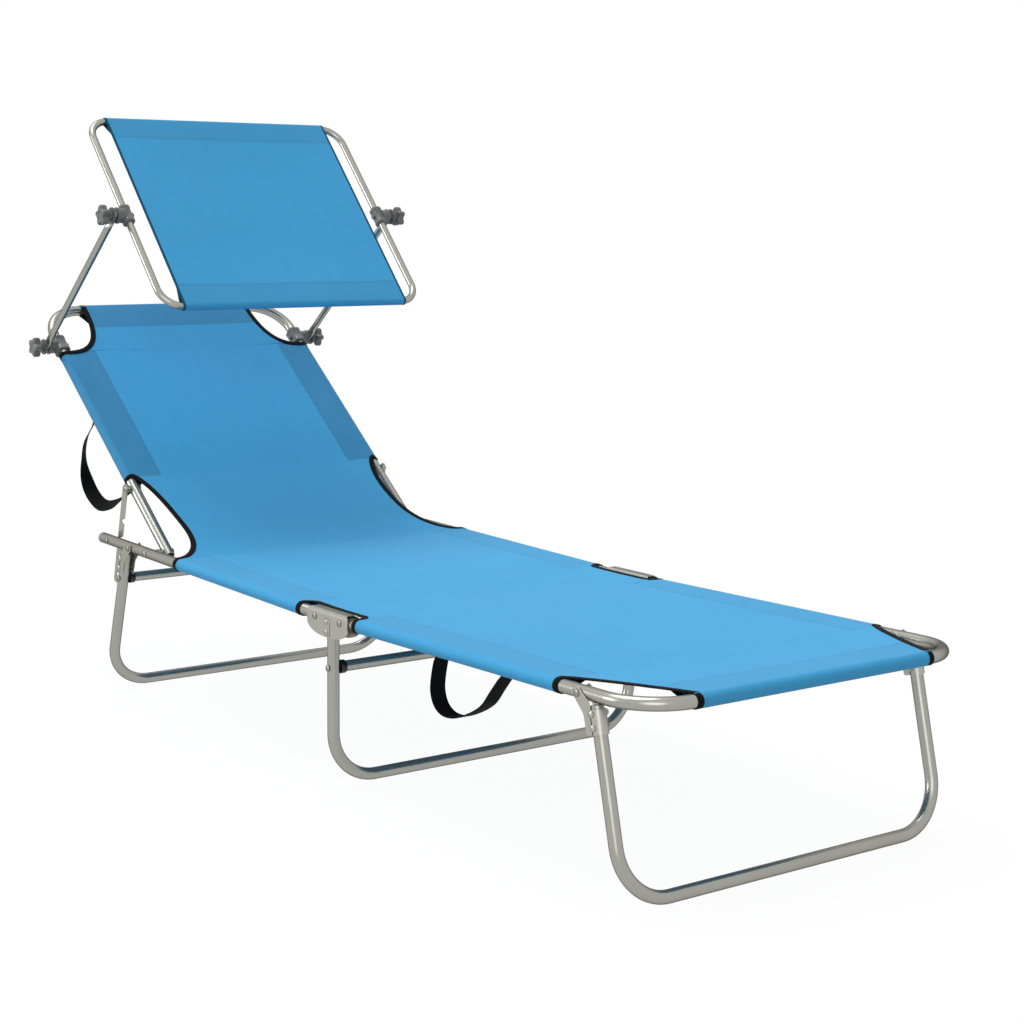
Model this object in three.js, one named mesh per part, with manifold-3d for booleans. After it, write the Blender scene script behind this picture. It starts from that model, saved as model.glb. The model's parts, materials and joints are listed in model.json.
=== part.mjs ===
// Folding sun lounger with a tilting canopy, in millimetres, +Z up.
// +Y points to the head end, the lounger is mirrored about X = 0, and the legs stand on Z = 0.
import * as THREE from 'three';
import { mergeVertices } from 'three/addons/utils/BufferGeometryUtils.js';
import Module from 'manifold-3d';

const wasm = await Module();
wasm.setup();

// Driving dimensions of the bed
const frameWidth = 580;
const frameTube = 18;
const frameTubeWall = 1.2;
const foldHeight = 250;
const foldPivotSpacing = 66;
const seatTubeLength = 711;
const seatRearHeight = 263.7;
const footSectionLength = 656.5;
const footEndHeight = 261;
const footCornerRadius = 74;
const sideX = (frameWidth - frameTube) / 2;

// Driving dimensions of the backrest
const backrestPivotToTubeEnd = 170;
const backrestLength = 607;
const backrestSetIn = 34;
const backrestCornerRadius = 68;
const backrestTail = 10;
const reclineAngle = THREE.MathUtils.degToRad(38.1);
const backrestPivotPlace = seatTubeLength - backrestPivotToTubeEnd;
const backrestHalfWidth = sideX - backrestSetIn;

// Driving dimensions of the legs
const legCornerRadius = 72;
const legPivotOffset = 22.3;
const rearLegToTubeEnd = 113.6;
const rearLegSplay = THREE.MathUtils.degToRad(16.4);
const footLegToFootEnd = 118;
const footLegSplay = THREE.MathUtils.degToRad(13.8);
const braceTube = 16;
const rearBraceDrop = 66;
const middleBraceDrop = 72;
const rearLegPivotPlace = seatTubeLength - rearLegToTubeEnd;
const footLegPivotPlace = footSectionLength - footLegToFootEnd;

// Driving dimensions of the canopy
const canopyTube = 12;
const canopyTubeWall = 1;
const canopyLength = 411;
const canopySetIn = 29;
const canopyCornerRadius = 38;
const canopyPivotOffset = 8.5;
const canopyAngle = THREE.MathUtils.degToRad(227.7);
const armTube = 12;
const armLength = 369;
const armAngle = THREE.MathUtils.degToRad(140);
const armSetIn = 7;
const armPivotToHead = 93.5;
const canopyHalfWidth = sideX - canopySetIn;
const canopyPivotPlace = canopyLength / 2 + canopyPivotOffset;
const armPlane = sideX - armSetIn;
const armPivotPlace = backrestLength - armPivotToHead;

// Fittings of the seat section
const catchPinToTubeEnd = 29.5;
const catchPinPlace = seatTubeLength - catchPinToTubeEnd;
const plugLength = 16;
const plugCap = 4;
const plugDomeShare = 0.7;
const backrestPinRadius = 3;
const backrestSpacerRadius = 5.5;

// Notched prop bars
const propSetIn = 18;
const propPlane = sideX - propSetIn;
const propThickness = 2.5;
const propWidth = 11;
const propPivotPlace = 150;
const propNotchPitch = 33;
const propNotchWidth = 7;
const propNotchDepth = 6;
const propTail = 15;
const propNotches = 4;
const propSpacerRadius = 6;

// Leg brackets and brace sleeves
const legBoltDrops = [10, 27];
const bracketLowerEdge = 36;
const bracketBossRadius = 9;
const cheekRise = 4;
const sleeveLength = 9;
const sleeveWall = 1.2;

// Middle leg and fold brackets
const middleLegTop = 4;
const middleRivetDrops = [3, 18];
const foldBracketHalf = 54;
const foldBracketHang = 26;
const foldBracketSideHang = 10;
const foldBracketCorner = 7;
const foldWebGap = 1.2;
const bracketBellyShare = 0.72;

// Canopy fittings
const clampWall = 3;
const clampLength = 34;
const discRadius = 14;
const discThickness = 4;
const discTeeth = 15;
const discToothDepth = 1.2;
const studRadius = 3;
const studTail = 4;
const armFlatHalf = 2.3;
const knobRadius = 18;
const knobHubRadius = 9;
const knobHubLength = 7;
const knobLobeLength = 13;
const knobLobes = 5;
const knobLobeSteps = 5;
const knobWaistShare = 0.66;
const knobBevel = 2;
const flatSpreadShare = 1.3;
const armEyeRadius = 9;
const armFlatLength = 18;
const armTaper = 14;
const canopyFabricSetIn = 33;
const canopyFabricHalf = canopyHalfWidth - canopyFabricSetIn;

// Clearances and counts
const fitGap = 0.3;
const slideGap = 0.5;
const holeGap = 0.15;
const cutOverrun = 5;
const tubeSides = 12;
const slimTubeSides = 10;
const bendSteps = 4;
const roundSides = 12;
const noseSteps = 6;
const holeSides = 6;
const smallRoundSides = 8;
const cornerSteps = 4;

// Rivets, bolts and sheet metal
const rivetRadius = 2.5;
const rivetHeadRadius = 5;
const rivetHeadHeight = 1.8;
const sheetThickness = 1.2;

// Fabric
const fabricThickness = 1.3;
const sleeveHem = 57;
const canopyHem = 43;
const sleeveSteps = 9;
const seamFold = 0.4;
const seatSleeveStart = 47;
const seatSleeveToPivot = 104;
const footSleeveStart = 28;
const footSleeveToEnd = 158.5;
const foldCutSetIn = 19;
const foldCutRadius = 11;
const pivotCutSetIn = 60;
const footCutFlare = 15;
const backSleeveToProp = 34;
const headCutLength = 118;
const headCutSetIn = 75;
const headCutShoulderSetIn = 23;
const headCutRise = 74;
const headCutSteps = 4;
const headCutBendShare = 0.25;
const slingSteps = 6;
const seatSleeveEnd = backrestPivotPlace - seatSleeveToPivot;
const footSleeveEnd = footSectionLength - footSleeveToEnd;
const foldCutInner = sideX - foldCutSetIn;
const pivotCutInner = sideX - pivotCutSetIn;
const footCutInner = sideX - footCornerRadius;
const backSleeveStart = propPivotPlace + backSleeveToProp;
const backSleeveEnd = backrestLength - headCutLength;
const headCutInner = backrestHalfWidth - headCutSetIn;
const headCutShoulder = backrestHalfWidth - headCutShoulderSetIn;

// Carry straps
const strapWidth = 25;
const strapThickness = 1.6;
const strapInset = 27;
const strapSteps = 22;
const footStrapStart = 211;
const footStrapSpan = 164;
const footStrapDepth = 82;
const backStrapStart = 190;
const backStrapSpan = 159;
const backStrapDepth = 158;
const footRouteShares = [[0.14, 0], [0.04, 0], [-0.05, 0.12], [-0.1, 0.46], [-0.07, 0.76], [0.05, 0.96],
  [0.26, 0.99], [0.47, 0.86], [0.67, 0.57], [0.86, 0.2], [0.97, 0.03], [1.08, 0]];
const backRouteShares = [[0.86, 0], [0.96, 0], [1.04, 0.1], [1.09, 0.38], [1.06, 0.62], [0.97, 0.84],
  [0.82, 0.98], [0.62, 1.02], [0.4, 0.96], [0.18, 0.76], [0.04, 0.46], [-0.01, 0.18], [0.05, 0.02],
  [0.16, 0]];

const steel = new THREE.MeshStandardMaterial({ color: 0xc9cbc8, roughness: 0.35, metalness: 0.9 });
const sheetSteel = new THREE.MeshStandardMaterial({ color: 0xb4b6b3, roughness: 0.4, metalness: 0.9 });
const greyPlastic = new THREE.MeshStandardMaterial({ color: 0x77797a, roughness: 0.6, metalness: 0 });
const palePlastic = new THREE.MeshStandardMaterial({ color: 0xb9b9b2, roughness: 0.55, metalness: 0 });
const blackPlastic = new THREE.MeshStandardMaterial({ color: 0x17181a, roughness: 0.6, metalness: 0 });
const blueFabric = new THREE.MeshStandardMaterial({ color: 0x4a9fd0, roughness: 0.8, metalness: 0 });
const blackWebbing = new THREE.MeshStandardMaterial({ color: 0x101011, roughness: 0.9, metalness: 0 });

const lounger = new THREE.Group();
const sides = [['left', -1], ['right', 1]];

// Add a named mesh of a geometry to a group
function addPiece(group, name, geometry, material) {
  const mesh = new THREE.Mesh(geometry, material);
  mesh.name = name;
  group.add(mesh);
  return mesh;
}

// Turn a closed three.js geometry into a solid for boolean work
function toSolid(geometry) {
  const bare = geometry.clone();
  bare.deleteAttribute('normal');
  bare.deleteAttribute('uv');
  const merged = mergeVertices(bare);
  return new wasm.Manifold(new wasm.Mesh({
    numProp: 3,
    vertProperties: new Float32Array(merged.attributes.position.array),
    triVerts: new Uint32Array(merged.index.array),
  }));
}

// Turn a solid back into a three.js geometry
function toGeometry(solid) {
  const mesh = solid.getMesh();
  const geometry = new THREE.BufferGeometry();
  geometry.setAttribute('position', new THREE.BufferAttribute(new Float32Array(mesh.vertProperties), 3));
  geometry.setIndex(new THREE.BufferAttribute(new Uint32Array(mesh.triVerts), 1));
  geometry.computeVertexNormals();
  return geometry;
}

function cut(geometry, ...tools) {
  let solid = toSolid(geometry);
  for (const tool of tools) {
    solid = solid.subtract(toSolid(tool));
  }
  return toGeometry(solid);
}

function join(geometry, ...others) {
  let solid = toSolid(geometry);
  for (const other of others) {
    solid = solid.add(toSolid(other));
  }
  return toGeometry(solid);
}

function common(geometry, other) {
  return toGeometry(toSolid(geometry).intersect(toSolid(other)));
}

// Outlines and profiles carried along one of the three axes
function extrudeAlongZ(shape, low, high, curveSegments = cornerSteps) {
  const settings = { depth: high - low, bevelEnabled: false, curveSegments };
  const geometry = new THREE.ExtrudeGeometry(shape, settings);
  return geometry.translate(0, 0, low);
}

function extrudeAlongX(shape, low, high, curveSegments = cornerSteps) {
  const geometry = extrudeAlongZ(shape, low, high, curveSegments);
  const turn = new THREE.Matrix4().makeBasis(
    new THREE.Vector3(0, 1, 0), new THREE.Vector3(0, 0, 1), new THREE.Vector3(1, 0, 0));
  return geometry.applyMatrix4(turn);
}

function extrudeAlongY(shape, low, high, curveSegments = cornerSteps) {
  const geometry = extrudeAlongZ(shape, -high, -low, curveSegments);
  return geometry.rotateX(Math.PI / 2);
}

// A round piece on an axis along X, from a profile of [radius, x] pairs that starts and ends on the axis
function revolveAboutX(profile, segments = roundSides) {
  const points = profile.map(([radius, x]) => new THREE.Vector2(radius, x));
  return new THREE.LatheGeometry(points, segments).rotateZ(-Math.PI / 2);
}

function cylinderAlongX(radius, low, high, y = 0, z = 0, segments = smallRoundSides) {
  return revolveAboutX([[0, low], [radius, low], [radius, high], [0, high]], segments).translate(0, y, z);
}

// A ring outline with flats tangent to the true radius, so that a flat can rest on the floor
function roundOutline(radius, sideCount, turn = 0) {
  const cornerRadius = radius / Math.cos(Math.PI / sideCount);
  const points = [];
  for (let i = 0; i < sideCount; i += 1) {
    const angle = turn + (i + 0.5) * 2 * Math.PI / sideCount;
    points.push(new THREE.Vector2(cornerRadius * Math.cos(angle), cornerRadius * Math.sin(angle)));
  }
  return points;
}

function sidesOf(radius) {
  return radius < frameTube / 2 ? slimTubeSides : tubeSides;
}

// Distance from a tube's axis to its facet edges
function reachOf(radius) {
  return radius / Math.cos(Math.PI / sidesOf(radius));
}

function tubeShape(outerRadius, wall, turn = 0) {
  const sideCount = sidesOf(outerRadius);
  const shape = new THREE.Shape(roundOutline(outerRadius, sideCount, turn));
  shape.holes.push(new THREE.Path(roundOutline(outerRadius - wall, sideCount, turn).reverse()));
  return shape;
}

// A path through stations of a place and a direction, so that rings fall at the ends of straights
class StationPath extends THREE.Curve {
  constructor(stations) {
    super();
    this.stations = stations;
  }

  stationAt(share) {
    return this.stations[Math.round(share * (this.stations.length - 1))];
  }

  getPointAt(share) {
    return this.stationAt(share).place.clone();
  }

  getPoint(share) {
    return this.getPointAt(share);
  }

  getTangentAt(share) {
    return this.stationAt(share).direction.clone();
  }
}

// Stations along straights between corner points, with each corner as an arc of the given radius
function roundedStations(corners, radius = 0, steps = bendSteps) {
  const last = corners.length - 1;
  const directionAfter = (i) => corners[i + 1].clone().sub(corners[i]).normalize();
  const stations = [{ place: corners[0], direction: directionAfter(0) }];
  for (let i = 1; i < last; i += 1) {
    const incoming = directionAfter(i - 1);
    const outgoing = directionAfter(i);
    const turn = incoming.angleTo(outgoing);
    const start = corners[i].clone().addScaledVector(incoming, -radius * Math.tan(turn / 2));
    const inward = outgoing.clone().addScaledVector(incoming, -incoming.dot(outgoing)).normalize();
    const centre = start.clone().addScaledVector(inward, radius);
    for (let k = 0; k <= steps; k += 1) {
      const angle = turn * k / steps;
      stations.push({
        place: centre.clone().addScaledVector(inward, -radius * Math.cos(angle))
          .addScaledVector(incoming, radius * Math.sin(angle)),
        direction: incoming.clone().multiplyScalar(Math.cos(angle)).addScaledVector(inward, Math.sin(angle)),
      });
    }
  }
  stations.push({ place: corners[last], direction: directionAfter(last - 1) });
  return stations;
}

function sweep(shape, stations) {
  return new THREE.ExtrudeGeometry(shape, {
    steps: stations.length - 1, extrudePath: new StationPath(stations), bevelEnabled: false,
  });
}

function point(x, y, z) {
  return new THREE.Vector3(x, y, z);
}

// A closed skin over rings of equal length, with flat ends
function loft(rings) {
  const count = rings[0].length;
  const positions = rings.flat().flatMap((p) => [p.x, p.y, p.z]);
  const index = [];
  for (let r = 0; r < rings.length - 1; r += 1) {
    for (let i = 0; i < count; i += 1) {
      const a = r * count + i;
      const b = r * count + (i + 1) % count;
      index.push(a, b, b + count, a, b + count, a + count);
    }
  }
  const last = (rings.length - 1) * count;
  for (let i = 1; i < count - 1; i += 1) {
    index.push(0, i + 1, i, last, last + i, last + i + 1);
  }
  const geometry = new THREE.BufferGeometry();
  geometry.setAttribute('position', new THREE.Float32BufferAttribute(positions, 3));
  geometry.setIndex(index);
  return geometry;
}

// A rivet or bolt through a side of the frame, with a domed head on each end
function rivet(low, high, radius = rivetRadius, headRadius = rivetHeadRadius, headHeight = rivetHeadHeight) {
  const domeShare = 0.6;
  return revolveAboutX([
    [0, low - headHeight], [headRadius * domeShare, low - headHeight], [headRadius, low],
    [radius, low], [radius, high], [headRadius, high],
    [headRadius * domeShare, high + headHeight], [0, high + headHeight]], smallRoundSides);
}

// Hole for a rivet or bolt, drilled along X
function drill(low, high, y = 0, z = 0, radius = rivetRadius) {
  const corner = (radius + holeGap) / Math.cos(Math.PI / holeSides);
  return cylinderAlongX(corner, low - cutOverrun, high + cutOverrun, y, z, holeSides);
}

// Sizes that several pieces share
const tubeRadius = frameTube / 2;
const tubeReach = reachOf(tubeRadius);
const foldPivotY = foldPivotSpacing / 2;
const seatSlope = Math.asin((seatRearHeight - foldHeight) / seatTubeLength);
const footSlope = Math.asin((footEndHeight - foldHeight) / footSectionLength);
const plateInner = tubeReach + slideGap;
const plateOuter = plateInner + sheetThickness;

// The three hinged sections of the bed, each in its own group with its origin on its pivot
const seatGroup = new THREE.Group();
seatGroup.position.set(0, foldPivotY, foldHeight);
seatGroup.rotation.x = seatSlope;
const footGroup = new THREE.Group();
footGroup.position.set(0, -foldPivotY, foldHeight);
footGroup.rotation.x = -footSlope;
const backrestGroup = new THREE.Group();
backrestGroup.position.set(0, backrestPivotPlace, 0);
backrestGroup.rotation.x = reclineAngle - seatSlope;
seatGroup.add(backrestGroup);
lounger.add(seatGroup, footGroup);

// Round nose on a tube end, so that the end turns inside its bracket
function roundNose(tube, direction, reach) {
  const end = new THREE.Shape();
  end.absarc(0, 0, tubeRadius, -Math.PI / 2, Math.PI / 2, direction > 0);
  end.lineTo(direction * reach, tubeRadius + cutOverrun);
  end.lineTo(direction * reach, -tubeRadius - cutOverrun);
  end.lineTo(0, -tubeRadius - cutOverrun);
  return common(tube, extrudeAlongX(end, -frameWidth, frameWidth, noseSteps));
}

// Seat section: two side tubes with round noses at the fold and plugs at the rear
const backrestPinInner = backrestHalfWidth - tubeRadius;

function seatSection() {
  for (const [side, sign] of sides) {
    const x = sign * sideX;
    const straight = [point(x, -tubeReach - cutOverrun, 0), point(x, seatTubeLength, 0)];
    let tube = sweep(tubeShape(tubeRadius, frameTubeWall), roundedStations(straight));
    tube = roundNose(tube, 1, seatTubeLength + cutOverrun);
    tube = cut(tube,
      drill(-frameWidth, frameWidth, 0, 0),
      drill(-frameWidth, frameWidth, backrestPivotPlace, 0, backrestPinRadius),
      drill(-frameWidth, frameWidth, rearLegPivotPlace, 0),
      drill(-frameWidth, frameWidth, catchPinPlace, 0));
    addPiece(seatGroup, `seat_tube_${side}`, tube, steel);

    const plugRadius = tubeRadius - frameTubeWall - fitGap;
    const capRadius = tubeRadius;
    const capStart = seatTubeLength + fitGap;
    const plug = revolveAboutX([[0, seatTubeLength - plugLength], [plugRadius, seatTubeLength - plugLength],
      [plugRadius, capStart], [capRadius, capStart], [capRadius, capStart + plugCap / 2],
      [capRadius * plugDomeShare, capStart + plugCap], [0, capStart + plugCap]]);
    addPiece(seatGroup, `tube_plug_${side}`, plug.rotateZ(Math.PI / 2).translate(x, 0, 0), palePlastic);

    const outerFace = sideX + tubeRadius + fitGap;
    const catchInner = propPlane + propThickness / 2 + slideGap;
    const catchPin = rivet(catchInner + rivetHeadHeight, outerFace);
    if (sign < 0) {
      catchPin.rotateZ(Math.PI);
    }
    addPiece(seatGroup, `catch_pin_${side}`, catchPin.translate(0, catchPinPlace, 0), steel);

    const spacer = backrestHalfWidth + tubeReach + slideGap;
    const pinHead = backrestPinInner - fitGap;
    const pinProfile = [[0, pinHead - rivetHeadHeight],
      [rivetHeadRadius, pinHead - rivetHeadHeight / 2], [rivetHeadRadius, pinHead],
      [backrestPinRadius, pinHead], [backrestPinRadius, spacer],
      [backrestSpacerRadius, spacer], [backrestSpacerRadius, sideX - tubeReach - fitGap],
      [backrestPinRadius, sideX - tubeReach - fitGap], [backrestPinRadius, outerFace],
      [rivetHeadRadius, outerFace], [rivetHeadRadius, outerFace + rivetHeadHeight / 2],
      [0, outerFace + rivetHeadHeight]];
    const pivotPin = revolveAboutX(pinProfile, smallRoundSides);
    if (sign < 0) {
      pivotPin.rotateZ(Math.PI);
    }
    addPiece(seatGroup, `backrest_pivot_${side}`, pivotPin.translate(0, backrestPivotPlace, 0), steel);
  }
}

// Foot section: one tube bent into a U, with round noses at the fold
function footSection() {
  const start = tubeReach + cutOverrun;
  const corners = [point(-sideX, start, 0), point(-sideX, -footSectionLength, 0),
    point(sideX, -footSectionLength, 0), point(sideX, start, 0)];
  let frame = sweep(tubeShape(tubeRadius, frameTubeWall), roundedStations(corners, footCornerRadius));
  frame = roundNose(frame, -1, footSectionLength + frameTube);
  frame = cut(frame,
    drill(-frameWidth, frameWidth, 0, 0),
    drill(-frameWidth, frameWidth, -footLegPivotPlace, 0));
  addPiece(footGroup, 'foot_frame', frame, steel);
}

// Distance from a leg's pivot down to the top of its tube, so that the top clears the frame as it folds
function legTopDrop(tilt) {
  return (tubeReach + fitGap + (tubeReach + legPivotOffset) * Math.sin(tilt)) / Math.cos(tilt);
}

// A U-shaped leg in its own group, with its pivot at the origin and its axis set off to the outer side
function makeLeg(name, group, outward, splay, tilt, pivotHeight, braceDrops) {
  const axisY = outward * legPivotOffset;
  const reach = (pivotHeight + legPivotOffset * Math.sin(splay) - tubeRadius) / Math.cos(splay);
  const top = -legTopDrop(tilt);
  const corners = [point(-sideX, axisY, top), point(-sideX, axisY, -reach),
    point(sideX, axisY, -reach), point(sideX, axisY, top)];
  const leg = sweep(tubeShape(tubeRadius, frameTubeWall, -outward * splay),
    roundedStations(corners, legCornerRadius));
  const holeHeights = [...legBoltDrops.map((drop) => top - drop), ...braceDrops.map((drop) => -drop)];
  const holes = holeHeights.map((height) => drill(-frameWidth, frameWidth, axisY, height));
  addPiece(group, name, cut(leg, ...holes), steel);
  return top;
}

// Cranked bracket of folded sheet: two cheeks from the pivot to the leg, joined by a web behind the leg
function makeLegBracket(name, group, sign, outward, legTop) {
  const halfWidth = tubeReach + fitGap;
  const backY = outward * (legPivotOffset + halfWidth + sheetThickness);
  const frontY = outward * (legPivotOffset - halfWidth);
  const bottom = legTop - bracketLowerEdge;
  const cheek = new THREE.Shape();
  cheek.absarc(0, 0, bracketBossRadius, outward > 0 ? Math.PI : 0, Math.PI / 2, outward > 0);
  cheek.lineTo(backY, legTop + cheekRise);
  cheek.lineTo(backY, bottom);
  cheek.lineTo(frontY, bottom);
  cheek.lineTo(frontY, legTop - cheekRise);
  const body = extrudeAlongX(cheek, sign * sideX - plateOuter, sign * sideX + plateOuter);
  const slot = new THREE.Shape();
  slot.moveTo(-outward * frameTube, frameTube);
  slot.lineTo(outward * (legPivotOffset + halfWidth), frameTube);
  slot.lineTo(outward * (legPivotOffset + halfWidth), bottom - cutOverrun);
  slot.lineTo(-outward * frameTube, bottom - cutOverrun);
  const hollow = extrudeAlongX(slot, sign * sideX - plateInner, sign * sideX + plateInner);
  const aboveTop = new THREE.Shape();
  aboveTop.moveTo(outward * legPivotOffset, frameTube);
  aboveTop.lineTo(outward * (legPivotOffset + frameTube), frameTube);
  aboveTop.lineTo(outward * (legPivotOffset + frameTube), legTop - cheekRise);
  aboveTop.lineTo(outward * legPivotOffset, legTop - cheekRise);
  const webRelief = extrudeAlongX(aboveTop, sign * sideX - plateInner, sign * sideX + plateInner);
  const bracket = cut(body, hollow, webRelief, drill(-frameWidth, frameWidth));
  const bolts = legBoltDrops.map((drop) => rivet(sign * sideX - plateOuter, sign * sideX + plateOuter)
    .translate(0, outward * legPivotOffset, legTop - drop));
  addPiece(group, name, join(bracket, ...bolts), sheetSteel);
}

// Rear legs hang from the seat tubes, foot legs from the foot frame
const rearLegGroup = new THREE.Group();
const footLegGroup = new THREE.Group();
rearLegGroup.position.set(0, rearLegPivotPlace, 0);
rearLegGroup.rotation.x = rearLegSplay - seatSlope;
footLegGroup.position.set(0, -footLegPivotPlace, 0);
footLegGroup.rotation.x = -footLegSplay + footSlope;
seatGroup.add(rearLegGroup);
footGroup.add(footLegGroup);

// A straight brace tube between two legs, with a black sleeve and a screw at each end
function makeBrace(prefix, group, y, z) {
  const radius = braceTube / 2;
  const innerFace = sideX - tubeReach - fitGap;
  const tubeEnd = innerFace - sheetThickness - fitGap;
  const tube = extrudeAlongX(tubeShape(radius, frameTubeWall), -tubeEnd, tubeEnd).translate(0, y, z);
  addPiece(group, `${prefix}_brace`, tube, steel);
  for (const [side, sign] of sides) {
    const outer = reachOf(radius) + fitGap;
    const low = innerFace - sleeveLength;
    const screwHead = sideX + tubeReach + fitGap;
    const cap = cut(cylinderAlongX(outer + sleeveWall, low, innerFace, 0, 0, roundSides),
      cylinderAlongX(outer, low - cutOverrun, tubeEnd + fitGap, 0, 0, roundSides));
    const sleeve = join(cap, rivet(low, screwHead));
    if (sign < 0) {
      sleeve.rotateZ(Math.PI);
    }
    addPiece(group, `${prefix}_brace_sleeve_${side}`, sleeve.translate(0, y, z), blackPlastic);
  }
}

// Outline of a fold bracket: a straight upper edge and a rounded belly
function foldBracketOutline() {
  const top = tubeReach + foldWebGap + sheetThickness;
  const shape = new THREE.Shape();
  shape.moveTo(-foldBracketHalf, top - foldBracketCorner);
  shape.quadraticCurveTo(-foldBracketHalf, top, -foldBracketHalf + foldBracketCorner, top);
  shape.lineTo(foldBracketHalf - foldBracketCorner, top);
  shape.quadraticCurveTo(foldBracketHalf, top, foldBracketHalf, top - foldBracketCorner);
  shape.lineTo(foldBracketHalf - foldBracketCorner / 2, -foldBracketSideHang);
  shape.quadraticCurveTo(foldBracketHalf * bracketBellyShare, -foldBracketHang, tubeReach, -foldBracketHang);
  shape.lineTo(-tubeReach, -foldBracketHang);
  shape.quadraticCurveTo(-foldBracketHalf * bracketBellyShare, -foldBracketHang,
    -foldBracketHalf + foldBracketCorner / 2, -foldBracketSideHang);
  return shape;
}

// Middle leg: a U fixed between the two fold brackets, which link the seat and the foot section
function middleSection() {
  const group = new THREE.Group();
  group.position.set(0, 0, foldHeight);
  const corners = [point(-sideX, 0, middleLegTop), point(-sideX, 0, tubeRadius - foldHeight),
    point(sideX, 0, tubeRadius - foldHeight), point(sideX, 0, middleLegTop)];
  const leg = sweep(tubeShape(tubeRadius, frameTubeWall), roundedStations(corners, legCornerRadius));
  const holeDrops = [...middleRivetDrops, middleBraceDrop];
  const holes = holeDrops.map((drop) => drill(-frameWidth, frameWidth, 0, -drop));
  addPiece(group, 'middle_leg', cut(leg, ...holes), steel);
  for (const [side, sign] of sides) {
    const x = sign * sideX;
    const outline = extrudeAlongX(foldBracketOutline(), x - plateOuter, x + plateOuter);
    const hollow = new THREE.Shape();
    hollow.moveTo(-foldBracketHalf - cutOverrun, tubeReach + foldWebGap);
    hollow.lineTo(-foldBracketHalf - cutOverrun, -foldBracketHang - cutOverrun);
    hollow.lineTo(foldBracketHalf + cutOverrun, -foldBracketHang - cutOverrun);
    hollow.lineTo(foldBracketHalf + cutOverrun, tubeReach + foldWebGap);
    const bracket = cut(outline, extrudeAlongX(hollow, x - plateInner, x + plateInner),
      drill(-frameWidth, frameWidth, foldPivotY), drill(-frameWidth, frameWidth, -foldPivotY));
    const legRivets = middleRivetDrops.map(
      (drop) => rivet(x - plateOuter, x + plateOuter).translate(0, 0, -drop));
    addPiece(group, `fold_bracket_${side}`, join(bracket, ...legRivets), sheetSteel);
    const low = x - plateOuter - fitGap;
    const high = x + plateOuter + fitGap;
    addPiece(group, `seat_fold_pin_${side}`, rivet(low, high).translate(0, foldPivotY, 0), steel);
    addPiece(group, `foot_fold_pin_${side}`, rivet(low, high).translate(0, -foldPivotY, 0), steel);
  }
  makeBrace('middle', group, 0, -middleBraceDrop);
  lounger.add(group);
}

// Backrest frame: one tube bent into a U around the head end
function backrestSection() {
  const corners = [point(-backrestHalfWidth, -backrestTail, 0), point(-backrestHalfWidth, backrestLength, 0),
    point(backrestHalfWidth, backrestLength, 0), point(backrestHalfWidth, -backrestTail, 0)];
  const tube = sweep(tubeShape(tubeRadius, frameTubeWall), roundedStations(corners, backrestCornerRadius));
  const frame = cut(tube, drill(-frameWidth, frameWidth, 0, 0, backrestPinRadius),
    drill(-frameWidth, frameWidth, propPivotPlace, 0),
    drill(-frameWidth, frameWidth, armPivotPlace, 0, studRadius));
  addPiece(backrestGroup, 'backrest_frame', frame, steel);
  for (const [side, sign] of sides) {
    const inner = backrestHalfWidth - tubeReach - fitGap;
    const outer = propPlane + propThickness / 2 + fitGap;
    const spacerLow = backrestHalfWidth + tubeReach + fitGap;
    const spacerHigh = propPlane - propThickness / 2 - fitGap;
    const profile = [[0, inner - rivetHeadHeight], [rivetHeadRadius, inner - rivetHeadHeight / 2],
      [rivetHeadRadius, inner], [rivetRadius, inner], [rivetRadius, spacerLow],
      [propSpacerRadius, spacerLow], [propSpacerRadius, spacerHigh], [rivetRadius, spacerHigh],
      [rivetRadius, outer], [rivetHeadRadius, outer], [rivetHeadRadius, outer + rivetHeadHeight / 2],
      [0, outer + rivetHeadHeight]];
    const pin = revolveAboutX(profile, smallRoundSides);
    if (sign < 0) {
      pin.rotateZ(Math.PI);
    }
    addPiece(backrestGroup, `prop_pivot_${side}`, pin.translate(0, propPivotPlace, 0), steel);
  }
}

// Outline of a prop bar with its pivot at the origin, hanging down -Z, with the notches open to -Y
function propOutline(firstNotch) {
  const half = propWidth / 2;
  const end = firstNotch + (propNotches - 1) * propNotchPitch + propTail;
  const shape = new THREE.Shape();
  shape.absarc(0, 0, half, 0, Math.PI, false);
  for (let i = 0; i < propNotches; i += 1) {
    const middle = firstNotch + i * propNotchPitch;
    shape.lineTo(-half, -middle + propNotchWidth);
    shape.lineTo(-half + propNotchDepth, -middle + propNotchWidth / 2);
    shape.absarc(-half + propNotchDepth, -middle, propNotchWidth / 2, Math.PI / 2, -Math.PI / 2, true);
    shape.lineTo(-half, -middle - propNotchWidth / 2);
  }
  shape.lineTo(-half, -end + half);
  shape.absarc(0, -end + half, half, Math.PI, 2 * Math.PI, false);
  return shape;
}

// Prop bars: one hangs from each side of the backrest, with its second notch on the catch pin
function propBars() {
  const pivot = new THREE.Vector2(propPivotPlace, 0)
    .rotateAround(new THREE.Vector2(), reclineAngle - seatSlope);
  const toCatch = new THREE.Vector2(catchPinPlace - backrestPivotPlace, 0).sub(pivot);
  const seat = propNotchDepth - propWidth / 2;
  const lean = Math.atan2(toCatch.x, -toCatch.y) + Math.asin(-seat / toCatch.length());
  const engaged = Math.sqrt(toCatch.lengthSq() - seat * seat);
  const outline = propOutline(engaged - propNotchPitch);
  for (const [side, sign] of sides) {
    const low = sign * propPlane - propThickness / 2;
    const bar = cut(extrudeAlongX(outline, low, low + propThickness), drill(-frameWidth, frameWidth));
    const mesh = addPiece(seatGroup, `prop_bar_${side}`, bar, sheetSteel);
    mesh.position.set(0, backrestPivotPlace + pivot.x, pivot.y);
    mesh.rotation.x = lean;
  }
}

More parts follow.
